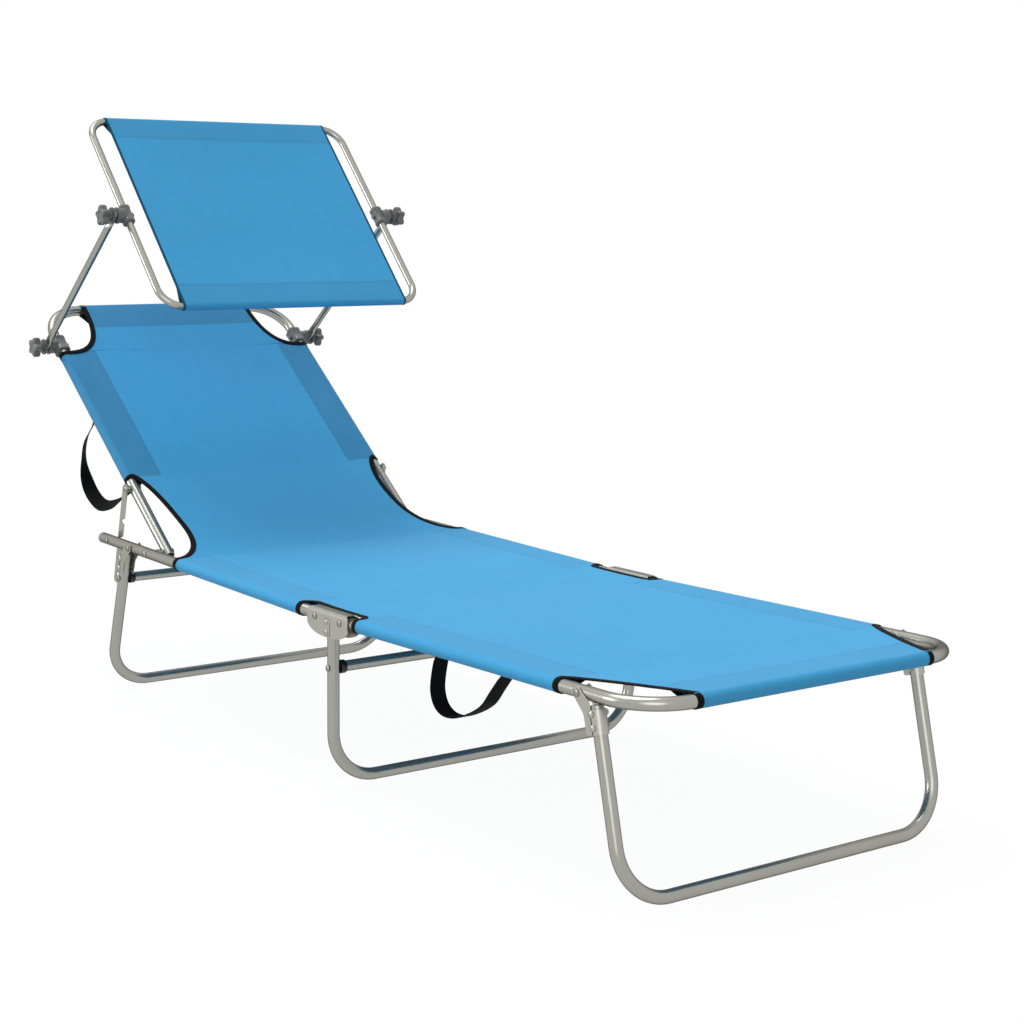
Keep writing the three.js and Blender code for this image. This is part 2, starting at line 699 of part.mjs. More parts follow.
// Ring of 2D points between a round and a flattened tube of the same perimeter
function flattenedRing(radius, flatHalf, share) {
  const straightHalf = Math.PI * (radius - flatHalf) / 2;
  const ring = [];
  for (let i = 0; i < slimTubeSides; i += 1) {
    const angle = (i + 0.5) * 2 * Math.PI / slimTubeSides;
    const x = Math.cos(angle);
    const y = Math.sin(angle);
    const flatX = flatHalf * x;
    const flatY = flatHalf * y + Math.sign(y) * straightHalf * Math.min(1, Math.abs(y) * flatSpreadShare);
    ring.push([
      THREE.MathUtils.lerp(radius * x, flatX, share),
      THREE.MathUtils.lerp(radius * y, flatY, share),
    ]);
  }
  return ring;
}

// An arm along +Y with flattened, rounded and drilled ends at 0 and at its length
function armGeometry() {
  const eyeEnd = armEyeRadius;
  const places = [-eyeEnd, armFlatLength, armFlatLength + armTaper,
    armLength - armFlatLength - armTaper, armLength - armFlatLength, armLength + eyeEnd];
  const flatShares = [1, 1, 0, 0, 1, 1];
  const skin = (radius, flatHalf, stretch) => loft(places.map((place, i) => {
    const y = place + (i === 0 ? -stretch : 0) + (i === places.length - 1 ? stretch : 0);
    return flattenedRing(radius, flatHalf, flatShares[i]).map(([x, z]) => point(x, y, z)).reverse();
  }));
  const outer = skin(armTube / 2, armFlatHalf, 0);
  const inner = skin(armTube / 2 - canopyTubeWall, armFlatHalf - canopyTubeWall, cutOverrun);
  const outline = new THREE.Shape();
  outline.absarc(0, 0, eyeEnd, Math.PI / 2, 3 * Math.PI / 2, false);
  outline.absarc(armLength, 0, eyeEnd, -Math.PI / 2, Math.PI / 2, false);
  const rounded = common(cut(outer, inner), extrudeAlongX(outline, -armTube, armTube, noseSteps));
  const studHoles = [0, armLength].map((place) => drill(-armTube, armTube, place, 0, studRadius));
  return cut(rounded, ...studHoles);
}

// Outline of a disc with teeth round its edge
function serratedOutline(radius) {
  const points = [];
  for (let i = 0; i < discTeeth * 2; i += 1) {
    const angle = i * Math.PI / discTeeth;
    const r = i % 2 === 0 ? radius : radius - discToothDepth;
    points.push(new THREE.Vector2(r * Math.cos(angle), r * Math.sin(angle)));
  }
  return new THREE.Shape(points);
}

// Clamp on a tube that runs along Y at the group's X, with a serrated boss towards the arm
function clampGeometry(tubeX, radius) {
  const reach = reachOf(radius) + fitGap;
  const bossEnd = armPlane - armFlatHalf - fitGap;
  const block = new THREE.Shape(roundOutline(reach + clampWall, sidesOf(radius)));
  const sleeve = extrudeAlongY(block, -clampLength / 2, clampLength / 2).translate(tubeX, 0, 0);
  const boss = extrudeAlongX(serratedOutline(discRadius), tubeX, bossEnd);
  const bore = new THREE.Shape(roundOutline(reach, sidesOf(radius)));
  const hole = extrudeAlongY(bore, -clampLength, clampLength).translate(tubeX, 0, 0);
  return cut(join(sleeve, boss), hole, drill(-frameWidth, frameWidth, 0, 0, studRadius));
}

// Star knob with a stud that reaches through the disc and the arm into the clamp
function knobGeometry(studEnd) {
  const hubStart = armPlane + armFlatHalf + discThickness + fitGap * 2;
  const starStart = hubStart + knobHubLength;
  const starEnd = starStart + knobLobeLength;
  const outline = new THREE.Shape();
  const steps = knobLobes * knobLobeSteps;
  for (let i = 0; i < steps; i += 1) {
    const angle = i * 2 * Math.PI / steps;
    const lobeShare = (1 + Math.cos(knobLobes * angle)) / 2;
    const radius = knobRadius * (knobWaistShare + (1 - knobWaistShare) * lobeShare);
    const x = radius * Math.cos(angle);
    const y = radius * Math.sin(angle);
    if (i === 0) {
      outline.moveTo(x, y);
    } else {
      outline.lineTo(x, y);
    }
  }
  const star = new THREE.ExtrudeGeometry(outline, {
    depth: knobLobeLength - 2 * knobBevel, bevelThickness: knobBevel, bevelSize: knobBevel,
    bevelOffset: -knobBevel, bevelSegments: 1,
  });
  const turn = new THREE.Matrix4().makeBasis(
    new THREE.Vector3(0, 1, 0), new THREE.Vector3(0, 0, 1), new THREE.Vector3(1, 0, 0));
  star.translate(0, 0, starStart + knobBevel).applyMatrix4(turn);
  const hub = cylinderAlongX(knobHubRadius, hubStart, starEnd - knobBevel, 0, 0, roundSides);
  const stud = cylinderAlongX(studRadius, studEnd, starStart + knobBevel);
  return join(star, hub, stud);
}

// Toothed disc between an arm and its knob
function discGeometry() {
  const low = armPlane + armFlatHalf + fitGap;
  const disc = extrudeAlongX(serratedOutline(discRadius), low, low + discThickness);
  return cut(disc, drill(low, low + discThickness, 0, 0, studRadius));
}

// Mirror a geometry to the left side by a half turn about the axis through the pivot
function onSide(geometry, sign) {
  return sign < 0 ? geometry.rotateZ(Math.PI) : geometry;
}

// Canopy arms on the backrest, and the canopy between their upper ends
function canopySection() {
  const armGroup = new THREE.Group();
  armGroup.position.set(0, armPivotPlace, 0);
  armGroup.rotation.x = armAngle - reclineAngle;
  backrestGroup.add(armGroup);
  const canopyGroup = new THREE.Group();
  canopyGroup.position.set(0, armLength, 0);
  canopyGroup.rotation.x = canopyAngle - armAngle;
  armGroup.add(canopyGroup);

  for (const [side, sign] of sides) {
    addPiece(armGroup, `canopy_arm_${side}`, armGeometry().translate(sign * armPlane, 0, 0), steel);
    const upperDisc = onSide(discGeometry(), sign).translate(0, armLength, 0);
    addPiece(armGroup, `lower_disc_${side}`, onSide(discGeometry(), sign), greyPlastic);
    addPiece(armGroup, `upper_disc_${side}`, upperDisc, greyPlastic);

    const lowerClamp = onSide(clampGeometry(backrestHalfWidth, tubeRadius), sign);
    addPiece(backrestGroup, `lower_clamp_${side}`, lowerClamp.translate(0, armPivotPlace, 0), greyPlastic);
    const lowerStud = backrestHalfWidth - tubeReach - clampWall - studTail;
    const lowerKnob = onSide(knobGeometry(lowerStud), sign).translate(0, armPivotPlace, 0);
    addPiece(backrestGroup, `lower_knob_${side}`, lowerKnob, greyPlastic);

    const upperClamp = onSide(clampGeometry(canopyHalfWidth, canopyTube / 2), sign);
    addPiece(canopyGroup, `upper_clamp_${side}`, upperClamp, greyPlastic);
    const upperStud = canopyHalfWidth - canopyTube / 2 - clampWall - studTail;
    addPiece(canopyGroup, `upper_knob_${side}`, onSide(knobGeometry(upperStud), sign), greyPlastic);
  }

  const high = -canopyPivotPlace;
  const low = canopyLength - canopyPivotPlace;
  const seam = slideGap / 2;
  const corners = [point(seam, low, 0), point(canopyHalfWidth, low, 0), point(canopyHalfWidth, high, 0),
    point(-canopyHalfWidth, high, 0), point(-canopyHalfWidth, low, 0), point(-seam, low, 0)];
  const ring = sweep(
    tubeShape(canopyTube / 2, canopyTubeWall), roundedStations(corners, canopyCornerRadius));
  addPiece(canopyGroup, 'canopy_frame', cut(ring, drill(-frameWidth, frameWidth, 0, 0, studRadius)), steel);
  addPiece(canopyGroup, 'canopy_fabric', canopyFabric(high, low), blueFabric);
}

// A fabric sleeve over a tube is a drop-shaped loop: round over the tube, closing at its hem seam
function dropPoints(radius, hem, seamZ, direction) {
  const points = [];
  const distance = Math.hypot(hem, seamZ);
  const tangent = -Math.acos(radius / distance) + Math.atan2(seamZ, hem);
  const turn = Math.PI / 2;
  for (let i = 0; i <= sleeveSteps; i += 1) {
    const angle = turn + (2 * Math.PI + tangent - turn) * i / sleeveSteps;
    points.push(new THREE.Vector2(direction * radius * Math.cos(angle), radius * Math.sin(angle)));
  }
  return points;
}

// Cross-section of a panel between two tubes at -half and +half, with a sleeve round each
function panelShape(half, radius, hems) {
  const inner = reachOf(radius) + fitGap;
  const outer = inner + fabricThickness;
  const left = dropPoints(outer, hems[0], inner, 1).map((p) => p.add(new THREE.Vector2(-half, 0)));
  const right = dropPoints(outer, hems[1], inner, -1).map((p) => p.add(new THREE.Vector2(half, 0)));
  const shape = new THREE.Shape([...left, new THREE.Vector2(-half + hems[0], inner),
    new THREE.Vector2(half - hems[1], inner), ...right.reverse()]);
  const holeSeamShare = 0.86;
  for (const [centre, direction, hem] of [[-half, 1, hems[0]], [half, -1, hems[1]]]) {
    const seam = new THREE.Vector2(centre + direction * hem * holeSeamShare, inner - seamFold);
    const drop = dropPoints(inner, hem * holeSeamShare, inner - seamFold, direction)
      .map((p) => p.add(new THREE.Vector2(centre, 0)));
    shape.holes.push(new THREE.Path([...drop, seam]));
  }
  return shape;
}

// Canopy fabric, with a sleeve round each cross tube of the canopy frame
function canopyFabric(high, low) {
  const length = low - high;
  const middle = (low + high) / 2;
  const profile = panelShape(length / 2, canopyTube / 2, [canopyHem, canopyHem]);
  const fabric = extrudeAlongX(profile, -canopyFabricHalf, canopyFabricHalf);
  return fabric.rotateY(Math.PI).translate(0, middle, 0);
}

// Height of the bed fabric's underside above a section's tube axes
const fabricLevel = tubeReach + fitGap;

// Trim tool: a plan outline with height to spare above and below
function slab(shape) {
  return extrudeAlongZ(shape, -frameTube * 2, frameTube * 2);
}

function planOutline(points) {
  return new THREE.Shape(points.map(([x, y]) => new THREE.Vector2(x, y)));
}

// The free stretch of fabric from the seat up to the backrest's sleeves: a curve halfway between
// the straight line that a taut sheet takes and the corner of the two planes
function slingStretch() {
  const turn = reclineAngle - seatSlope;
  const start = new THREE.Vector2(seatSleeveEnd - fitGap, fabricLevel);
  const end = new THREE.Vector2(backSleeveStart - fitGap, fabricLevel).rotateAround(new THREE.Vector2(), turn)
    .add(new THREE.Vector2(backrestPivotPlace, 0));
  const corner = new THREE.Vector2(backrestPivotPlace - fabricLevel * Math.tan(turn / 2), fabricLevel);
  const control = start.clone().lerp(end, 0.5).lerp(corner, 0.5);
  const lower = new THREE.QuadraticBezierCurve(start, control, end).getPoints(slingSteps);
  const upper = lower.map((place, i) => place.clone()
    .add(new THREE.Vector2(0, fabricThickness).rotateAround(new THREE.Vector2(), turn * i / slingSteps)));
  return extrudeAlongX(new THREE.Shape([...lower, ...upper.reverse()]), -pivotCutInner, pivotCutInner);
}

// Seat fabric: sleeves on both seat tubes, a step round each fold bracket, and the free stretch
function seatFabric() {
  const profile = panelShape(sideX, tubeRadius, [sleeveHem, sleeveHem]);
  const panel = extrudeAlongY(profile, -foldPivotY, seatSleeveEnd);
  const w = sideX + frameTube;
  const gapEnd = -foldPivotY + fitGap;
  const plan = planOutline([
    [-foldCutInner, gapEnd], [foldCutInner, gapEnd], [foldCutInner, seatSleeveStart - foldCutRadius],
    [foldCutInner + foldCutRadius, seatSleeveStart], [w, seatSleeveStart], [w, seatSleeveEnd],
    [-w, seatSleeveEnd], [-w, seatSleeveStart], [-foldCutInner - foldCutRadius, seatSleeveStart],
    [-foldCutInner, seatSleeveStart - foldCutRadius]]);
  addPiece(seatGroup, 'seat_fabric', join(common(panel, slab(plan)), slingStretch()), blueFabric);
}

// Foot fabric: sleeves on the foot frame's sides and end, and a cut-out at each corner
function footFabric() {
  const panel = extrudeAlongY(panelShape(sideX, tubeRadius, [sleeveHem, sleeveHem]),
    -footSectionLength, foldPivotY);
  const inner = tubeReach + fitGap;
  const roll = extrudeAlongX(panelShape(footSectionLength / 2, tubeRadius, [sleeveHem, sleeveHem]),
    -footCutInner, footCutInner).translate(0, -footSectionLength / 2, 0);
  const rollPlan = planOutline([
    [-footCutInner, -footSectionLength - frameTube], [footCutInner, -footSectionLength - frameTube],
    [footCutInner, -footSectionLength + sleeveHem], [-footCutInner, -footSectionLength + sleeveHem]]);
  const w = sideX + frameTube;
  const gapEnd = foldPivotY - fitGap;
  const flareX = footCutInner + footCutFlare;
  const flareY = -footSectionLength + footCutFlare / 2;
  const right = [
    [footCutInner, -footSectionLength], [flareX, flareY], [sideX, -footSleeveEnd - footCutFlare],
    [w, -footSleeveEnd], [w, -footSleeveStart], [foldCutInner + foldCutRadius, -footSleeveStart],
    [foldCutInner, -footSleeveStart + foldCutRadius], [foldCutInner, gapEnd]];
  const left = right.map(([x, y]) => [-x, y]).reverse();
  const sheet = common(panel, slab(planOutline([...right, ...left])));
  const crossOutline = new THREE.Shape(roundOutline(inner, tubeSides));
  const crossHole = extrudeAlongX(crossOutline, -frameWidth, frameWidth)
    .translate(0, -footSectionLength, 0);
  const underSides = [-1, 1].map(
    (sign) => new THREE.BoxGeometry(w - footCutInner, footSectionLength, frameTube * 2)
      .translate(sign * (w + footCutInner) / 2, -footSleeveEnd - footSectionLength / 2, inner - frameTube));
  const body = join(cut(sheet, ...underSides), common(roll, slab(rollPlan)));
  addPiece(footGroup, 'foot_fabric', cut(body, crossHole), blueFabric);
}

// Backrest fabric: sleeves on the backrest's sides and head end, and a cut-out at each head corner
function backrestFabric() {
  const panel = extrudeAlongY(panelShape(backrestHalfWidth, tubeRadius, [sleeveHem, sleeveHem]),
    backSleeveStart, backrestLength);
  const w = backrestHalfWidth + frameTube;
  const corner = new THREE.QuadraticBezierCurve(
    new THREE.Vector2(headCutShoulder, backSleeveEnd),
    new THREE.Vector2(THREE.MathUtils.lerp(headCutInner, headCutShoulder, headCutBendShare), backSleeveEnd),
    new THREE.Vector2(headCutInner, backSleeveEnd + headCutRise));
  const cornerPoints = corner.getPoints(headCutSteps);
  const right = [[w, backSleeveStart], [w, backSleeveEnd], ...cornerPoints.map((p) => [p.x, p.y]),
    [headCutInner, backrestLength]];
  const left = right.map(([x, y]) => [-x, y]).reverse();
  const plan = planOutline([...right, ...left]);
  const sheet = common(panel, slab(plan));
  const roll = extrudeAlongX(panelShape(backrestLength / 2, tubeRadius, [sleeveHem, sleeveHem]),
    -headCutInner, headCutInner).translate(0, backrestLength / 2, 0);
  const rollPlan = planOutline([
    [-headCutInner, backrestLength - sleeveHem], [headCutInner, backrestLength - sleeveHem],
    [headCutInner, backrestLength + frameTube], [-headCutInner, backrestLength + frameTube]]);
  const crossOutline = new THREE.Shape(roundOutline(tubeReach + fitGap, tubeSides));
  const crossHole = extrudeAlongX(crossOutline, -frameWidth, frameWidth).translate(0, backrestLength, 0);
  const body = cut(join(sheet, common(roll, slab(rollPlan))), crossHole);
  addPiece(backrestGroup, 'backrest_fabric', body, blueFabric);
}

// Carry straps: flat webbing that hangs in a loop below the left hem, flat against it at both ends.
// Each route lists shares of the span between the ends and of the depth of the loop.
function strapGeometry(half, start, span, depth, direction, routeShares) {
  const inner = tubeReach + fitGap;
  const outer = inner + fabricThickness;
  const tangent = Math.atan2(inner, sleeveHem) - Math.acos(outer / Math.hypot(sleeveHem, inner));
  const hemSlope = tangent + Math.PI / 2;
  const drop = inner + (strapInset - sleeveHem) * Math.tan(hemSlope)
    - (fitGap + strapThickness / 2) / Math.cos(hemSlope);
  const points = routeShares.map(([along, down]) => point(
    -half + strapInset, direction * (start + span * along), drop - depth * down));
  const curve = new THREE.CatmullRomCurve3(points, false, 'centripetal');
  const rings = [];
  for (let i = 0; i <= strapSteps; i += 1) {
    const centre = curve.getPointAt(i / strapSteps);
    centre.z = Math.min(centre.z, drop);
    const twist = hemSlope * Math.max(0, 1 - (drop - centre.z) / strapWidth);
    const across = point(Math.cos(twist), 0, Math.sin(twist));
    const off = curve.getTangentAt(i / strapSteps).cross(across).normalize()
      .multiplyScalar(strapThickness / 2);
    const side = across.multiplyScalar(strapWidth / 2);
    rings.push([centre.clone().sub(side).sub(off), centre.clone().add(side).sub(off),
      centre.clone().add(side).add(off), centre.clone().sub(side).add(off)]);
  }
  return loft(rings);
}

function straps() {
  const foot = strapGeometry(sideX, footStrapStart, footStrapSpan, footStrapDepth, -1, footRouteShares);
  addPiece(footGroup, 'foot_strap', foot, blackWebbing);
  const back = strapGeometry(
    backrestHalfWidth, backStrapStart, backStrapSpan, backStrapDepth, 1, backRouteShares);
  addPiece(backrestGroup, 'backrest_strap', back, blackWebbing);
}

seatSection();
footSection();
const rearPivotHeight = foldHeight + rearLegPivotPlace * Math.sin(seatSlope);
const footPivotHeight = foldHeight + footLegPivotPlace * Math.sin(footSlope);
const rearLegTop = makeLeg(
  'rear_leg', rearLegGroup, 1, rearLegSplay, rearLegSplay - seatSlope, rearPivotHeight, [rearBraceDrop]);
const footLegTop = makeLeg(
  'foot_leg', footLegGroup, -1, footLegSplay, footLegSplay - footSlope, footPivotHeight, []);
for (const [side, sign] of sides) {
  makeLegBracket(`rear_leg_bracket_${side}`, rearLegGroup, sign, 1, rearLegTop);
  makeLegBracket(`foot_leg_bracket_${side}`, footLegGroup, sign, -1, footLegTop);
  const low = sign * sideX - plateOuter - fitGap;
  const high = sign * sideX + plateOuter + fitGap;
  addPiece(rearLegGroup, `rear_leg_pivot_${side}`, rivet(low, high), steel);
  addPiece(footLegGroup, `foot_leg_pivot_${side}`, rivet(low, high), steel);
}
makeBrace('rear', rearLegGroup, legPivotOffset, -rearBraceDrop);
middleSection();
backrestSection();
propBars();
canopySection();
seatFabric();
footFabric();
backrestFabric();
straps();

// Centre the lounger on the origin, head to foot
lounger.updateMatrixWorld(true);
const bounds = new THREE.Box3().setFromObject(lounger);
lounger.position.y = -(bounds.min.y + bounds.max.y) / 2;

export default lounger;
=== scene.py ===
"""Looks of a folding sun lounger with a canopy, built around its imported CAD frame."""

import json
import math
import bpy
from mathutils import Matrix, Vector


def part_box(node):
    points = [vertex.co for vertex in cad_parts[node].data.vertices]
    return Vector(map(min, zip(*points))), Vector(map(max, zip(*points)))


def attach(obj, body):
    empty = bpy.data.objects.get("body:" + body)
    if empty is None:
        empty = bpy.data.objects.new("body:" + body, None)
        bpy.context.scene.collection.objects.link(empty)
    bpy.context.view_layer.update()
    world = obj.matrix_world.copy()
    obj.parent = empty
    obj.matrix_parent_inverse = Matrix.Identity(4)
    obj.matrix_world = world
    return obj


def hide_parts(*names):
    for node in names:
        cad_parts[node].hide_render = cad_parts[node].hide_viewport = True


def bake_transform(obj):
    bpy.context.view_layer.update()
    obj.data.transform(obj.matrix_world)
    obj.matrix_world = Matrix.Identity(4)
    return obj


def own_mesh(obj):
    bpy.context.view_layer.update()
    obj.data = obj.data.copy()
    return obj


bl_info = {
    "name": "Sun lounger with canopy",
    "version": (1, 0, 0),
    "blender": (4, 5, 0),
    "location": "3D Viewport > Sidebar > Lounger",
    "description": "Builds a folding sun lounger of steel tube and woven cloth around its CAD frame",
    "category": "Object",
}

import bpy
import numpy as np
from mathutils import Matrix

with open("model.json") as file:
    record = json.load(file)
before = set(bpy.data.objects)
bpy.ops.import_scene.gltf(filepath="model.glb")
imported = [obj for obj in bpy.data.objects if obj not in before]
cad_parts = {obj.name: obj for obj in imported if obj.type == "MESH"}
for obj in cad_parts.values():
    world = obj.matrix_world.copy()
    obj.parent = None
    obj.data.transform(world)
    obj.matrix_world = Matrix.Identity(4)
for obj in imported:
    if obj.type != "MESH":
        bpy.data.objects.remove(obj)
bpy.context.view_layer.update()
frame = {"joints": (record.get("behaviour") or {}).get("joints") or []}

# Sizes are in metres. Sections hang on the frame's own joints.
MM = 0.001
SIDES = (("left", -1), ("right", 1))

joint_places = {joint["name"]: np.array(joint["pos_m"], float) for joint in frame["joints"]}


def slope_between(first, second):
    """Angle in side view of the line from one joint to another, from +Y towards +Z."""
    step = joint_places[second] - joint_places[first]
    return math.atan2(step[2], step[1])


class Section:
    """A flat part of the lounger in side view: an origin, a slope, and which way its outer face points."""

    def __init__(self, origin, slope, face=1):
        self.origin = np.array(origin[1:], float)
        self.slope = slope
        self.face = face

    def place(self, x, along, up):
        """Points in the row frame: (along, up) turned by the slope about X and moved to the origin."""
        x, along, up = np.broadcast_arrays(np.asarray(x, float), along, up)
        up = up * self.face
        cosine, sine = math.cos(self.slope), math.sin(self.slope)
        y = self.origin[0] + along * cosine - up * sine
        z = self.origin[1] + along * sine + up * cosine
        return np.stack([x, y, z], axis=-1)

    def direction(self, x, along, up):
        """The same turn for directions."""
        return self.place(x, along, up) - self.place(0, 0, 0)


rear_leg_splay = math.radians(16.4)
foot_leg_splay = math.radians(13.8)
canopy_slope = math.radians(227.7)

seat_section = Section(joint_places["middle_fold"], slope_between("middle_fold", "backrest_recline"))
foot_section = Section(
    joint_places["foot_section_fold"],
    slope_between("foot_leg_fold", "foot_section_fold"),
)
fold_middle = (joint_places["middle_fold"] + joint_places["foot_section_fold"]) / 2
middle_section = Section(fold_middle, 0)
backrest_section = Section(
    joint_places["backrest_recline"], slope_between("backrest_recline", "canopy_arm_swing")
)
rear_leg_section = Section(joint_places["rear_leg_fold"], rear_leg_splay)
foot_leg_section = Section(joint_places["foot_leg_fold"], -foot_leg_splay)
arm_section = Section(joint_places["canopy_arm_swing"], slope_between("canopy_arm_swing", "canopy_tilt"))
canopy_section = Section(joint_places["canopy_tilt"], canopy_slope, face=-1)

# Sizes of the frame
tube_radius = 9 * MM
tube_wall = 1.2 * MM
tube_reach = tube_radius / math.cos(math.pi / 12)
side_x = (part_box("seat_tube_right")[0].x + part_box("seat_tube_right")[1].x) / 2
seat_tube_length = 711 * MM
foot_section_length = 656.5 * MM
foot_corner_radius = 74 * MM
backrest_pivot_place = 541 * MM
backrest_length = 607 * MM
backrest_half = side_x - 34 * MM
backrest_corner_radius = 68 * MM
backrest_tail = 10 * MM
leg_corner_radius = 72 * MM
leg_pivot_offset = 22.3 * MM
rear_brace_drop = 66 * MM
middle_brace_drop = 72 * MM
brace_radius = 8 * MM
canopy_tube_radius = 6 * MM
canopy_length = 411 * MM
canopy_half = side_x - 29 * MM
canopy_corner_radius = 38 * MM
canopy_top_place = canopy_length / 2 + 8.5 * MM
canopy_bottom_place = canopy_length - canopy_top_place
arm_length = 369 * MM
arm_plane = side_x - 7 * MM
arm_flat_half = 2.3 * MM
arm_eye_radius = 9 * MM
arm_flat_length = 18 * MM
arm_taper = 14 * MM
arm_pivot_place = backrest_length - 93.5 * MM
prop_plane = side_x - 18 * MM
prop_pivot_place = 150 * MM
catch_pin_place = seat_tube_length - 29.5 * MM

# Sizes of the fittings
fit_gap = 0.3 * MM
slide_gap = 0.5 * MM
sheet_thickness = 1.2 * MM
plate_inner = tube_reach + slide_gap
plate_outer = plate_inner + sheet_thickness
rivet_radius = 2.5 * MM
rivet_head_radius = 5 * MM
rivet_head_height = 1.8 * MM
prop_half = 1.25 * MM
disc_radius = 14 * MM
disc_tooth = 1.2 * MM
disc_thickness = 4 * MM
clamp_wall = 3 * MM
round_sides = 28

# Sizes of the cloth
cloth_thickness = 0.9 * MM
cloth_clearance = 0.65 * MM
cloth_level = tube_radius + cloth_clearance
canopy_level = canopy_tube_radius + cloth_clearance
sleeve_hem = 57 * MM
canopy_hem = 43 * MM
seat_sleeve_start = 47 * MM
seat_sleeve_end = backrest_pivot_place - 104 * MM
foot_sleeve_start = 31 * MM
foot_sleeve_end = foot_section_length - 158.5 * MM
back_sleeve_start = prop_pivot_place + 17 * MM
back_sleeve_end = backrest_length - 118 * MM
fold_cut_x = side_x - 14 * MM
fold_cut_radius = 11 * MM
pivot_cut_x = side_x - 60 * MM
foot_roll_x = side_x - foot_corner_radius
head_roll_x = backrest_half - 75 * MM
canopy_cloth_x = canopy_half - 33 * MM
fold_piece_end = 12 * MM
bed_sag_reach = 140 * MM
canopy_sag_reach = 130 * MM
row_step = 4 * MM
flat_columns = 84
deepest_hem = 20 * MM
beyond = 1.0


# Colours and materials


def from_hex(code):
    """Linear colour of an sRGB hex code, by the sRGB transfer curve."""
    values = np.array([int(code[i : i + 2], 16) for i in (0, 2, 4)]) / 255
    linear = np.where(values <= 0.04045, values / 12.92, ((values + 0.055) / 1.055) ** 2.4)
    return tuple(float(value) for value in linear)


def length_property(name, description, value):
    """A size that a user may change, in metres."""
    return bpy.props.FloatProperty(name=name, description=description, default=value, unit="LENGTH")


def colour_property(name, description, code):
    """A colour that a user may change, from its sRGB hex code."""
    return bpy.props.FloatVectorProperty(
        name=name, description=description, default=from_hex(code), subtype="COLOR", min=0, max=1)


class LoungerSizes(bpy.types.PropertyGroup):
    """Sizes of the cloth and the camera that a user may change."""

    binding_width: length_property(
        "Binding width", "Visible width of the black tape on each face of the cloth", 8.5 * MM)
    bed_sag: length_property("Bed sag", "Sag of the bed cloth midway between the side tubes", 4 * MM)
    canopy_sag: length_property(
        "Canopy sag", "Sag of the canopy cloth midway between its cross tubes", 6 * MM)
    pucker_height: length_property(
        "Pucker height", "Height of the small gathers along the hem stitching", 0.45 * MM)
    thread_pitch: length_property("Thread pitch", "Distance between threads as drawn on the cloth", 2.4 * MM)
    camera_lens: bpy.props.FloatProperty(
        name="Camera lens", description="Focal length on a 36 mm sensor", default=71.55, unit="CAMERA")


class LoungerColours(bpy.types.PropertyGroup):
    """Colours of the lounger and its stage."""

    cloth: colour_property("Cloth", "Colour of the woven cloth", "3DACE4")
    tube: colour_property("Tube", "Colour of the coated steel tube", "A9A9A1")
    fitting: colour_property("Fitting", "Colour of the moulded clamps, discs and knobs", "6D6F6D")
    trim: colour_property("Trim", "Colour of the binding tape, straps and end sleeves", "0C0C0D")
    floor: colour_property("Floor", "Colour of the floor", "B9B9B8")


def sizes():
    """The sizes as the user has set them."""
    return bpy.context.scene.lounger_sizes


def colours():
    """The colours as the user has set them."""
    return bpy.context.scene.lounger_colours


def add_node(tree, kind, settings=None, inputs=None):
    """Add a shader node, set its properties, and give each named or numbered input a value or a link."""
    node = tree.nodes.new("ShaderNode" + kind)
    for name, value in (settings or {}).items():
        setattr(node, name, value)
    for key, value in (inputs or {}).items():
        socket = node.inputs[key]
        if isinstance(value, bpy.types.NodeSocket):
            tree.links.new(value, socket)
        else:
            socket.default_value = value
    return node


def new_material(name):
    """An empty node material, and its node tree."""
    material = bpy.data.materials.new(name)
    material.use_nodes = True
    material.node_tree.nodes.clear()
    return material, material.node_tree


def coated_metal(name, colour, roughness, grain, wear, metallic):
    """Silver coat of flakes in a clear binder: a colour and roughness that drift slightly over patches
    of some 70 mm, a fine grain that breaks the reflections, and a dark tint of the reflection at a
    grazing angle."""
    material, tree = new_material(name)
    place = add_node(tree, "TexCoord").outputs["Object"]
    drift = add_node(tree, "TexNoise", None, {
        "Vector": place, "Scale": 1 / (71.43 * MM), "Detail": 3.0, "Roughness": 0.55})
    fine = add_node(tree, "TexNoise", None, {
        "Vector": place, "Scale": 1 / grain, "Detail": 2.0})
    dark = tuple(channel * (1 - wear) for channel in colour)
    tint = add_node(tree, "Mix", {"data_type": "RGBA"}, {
        0: drift.outputs["Fac"], 6: (*dark, 1), 7: (*colour, 1)})
    gloss = add_node(tree, "MapRange", None, {
        "Value": drift.outputs["Fac"], "To Min": roughness + 0.05, "To Max": roughness - 0.05})
    bump = add_node(tree, "Bump", None, {
        "Strength": 0.15, "Distance": 0.01 * MM, "Height": fine.outputs["Fac"]})
    shader = add_node(tree, "BsdfPrincipled", None, {
        "Base Color": tint.outputs[2], "Metallic": metallic, "Roughness": gloss.outputs["Result"],
        "Specular Tint": (*from_hex("3F3F3F"), 1), "Normal": bump.outputs["Normal"]})
    add_node(tree, "OutputMaterial", None, {"Surface": shader.outputs["BSDF"]})
    return material


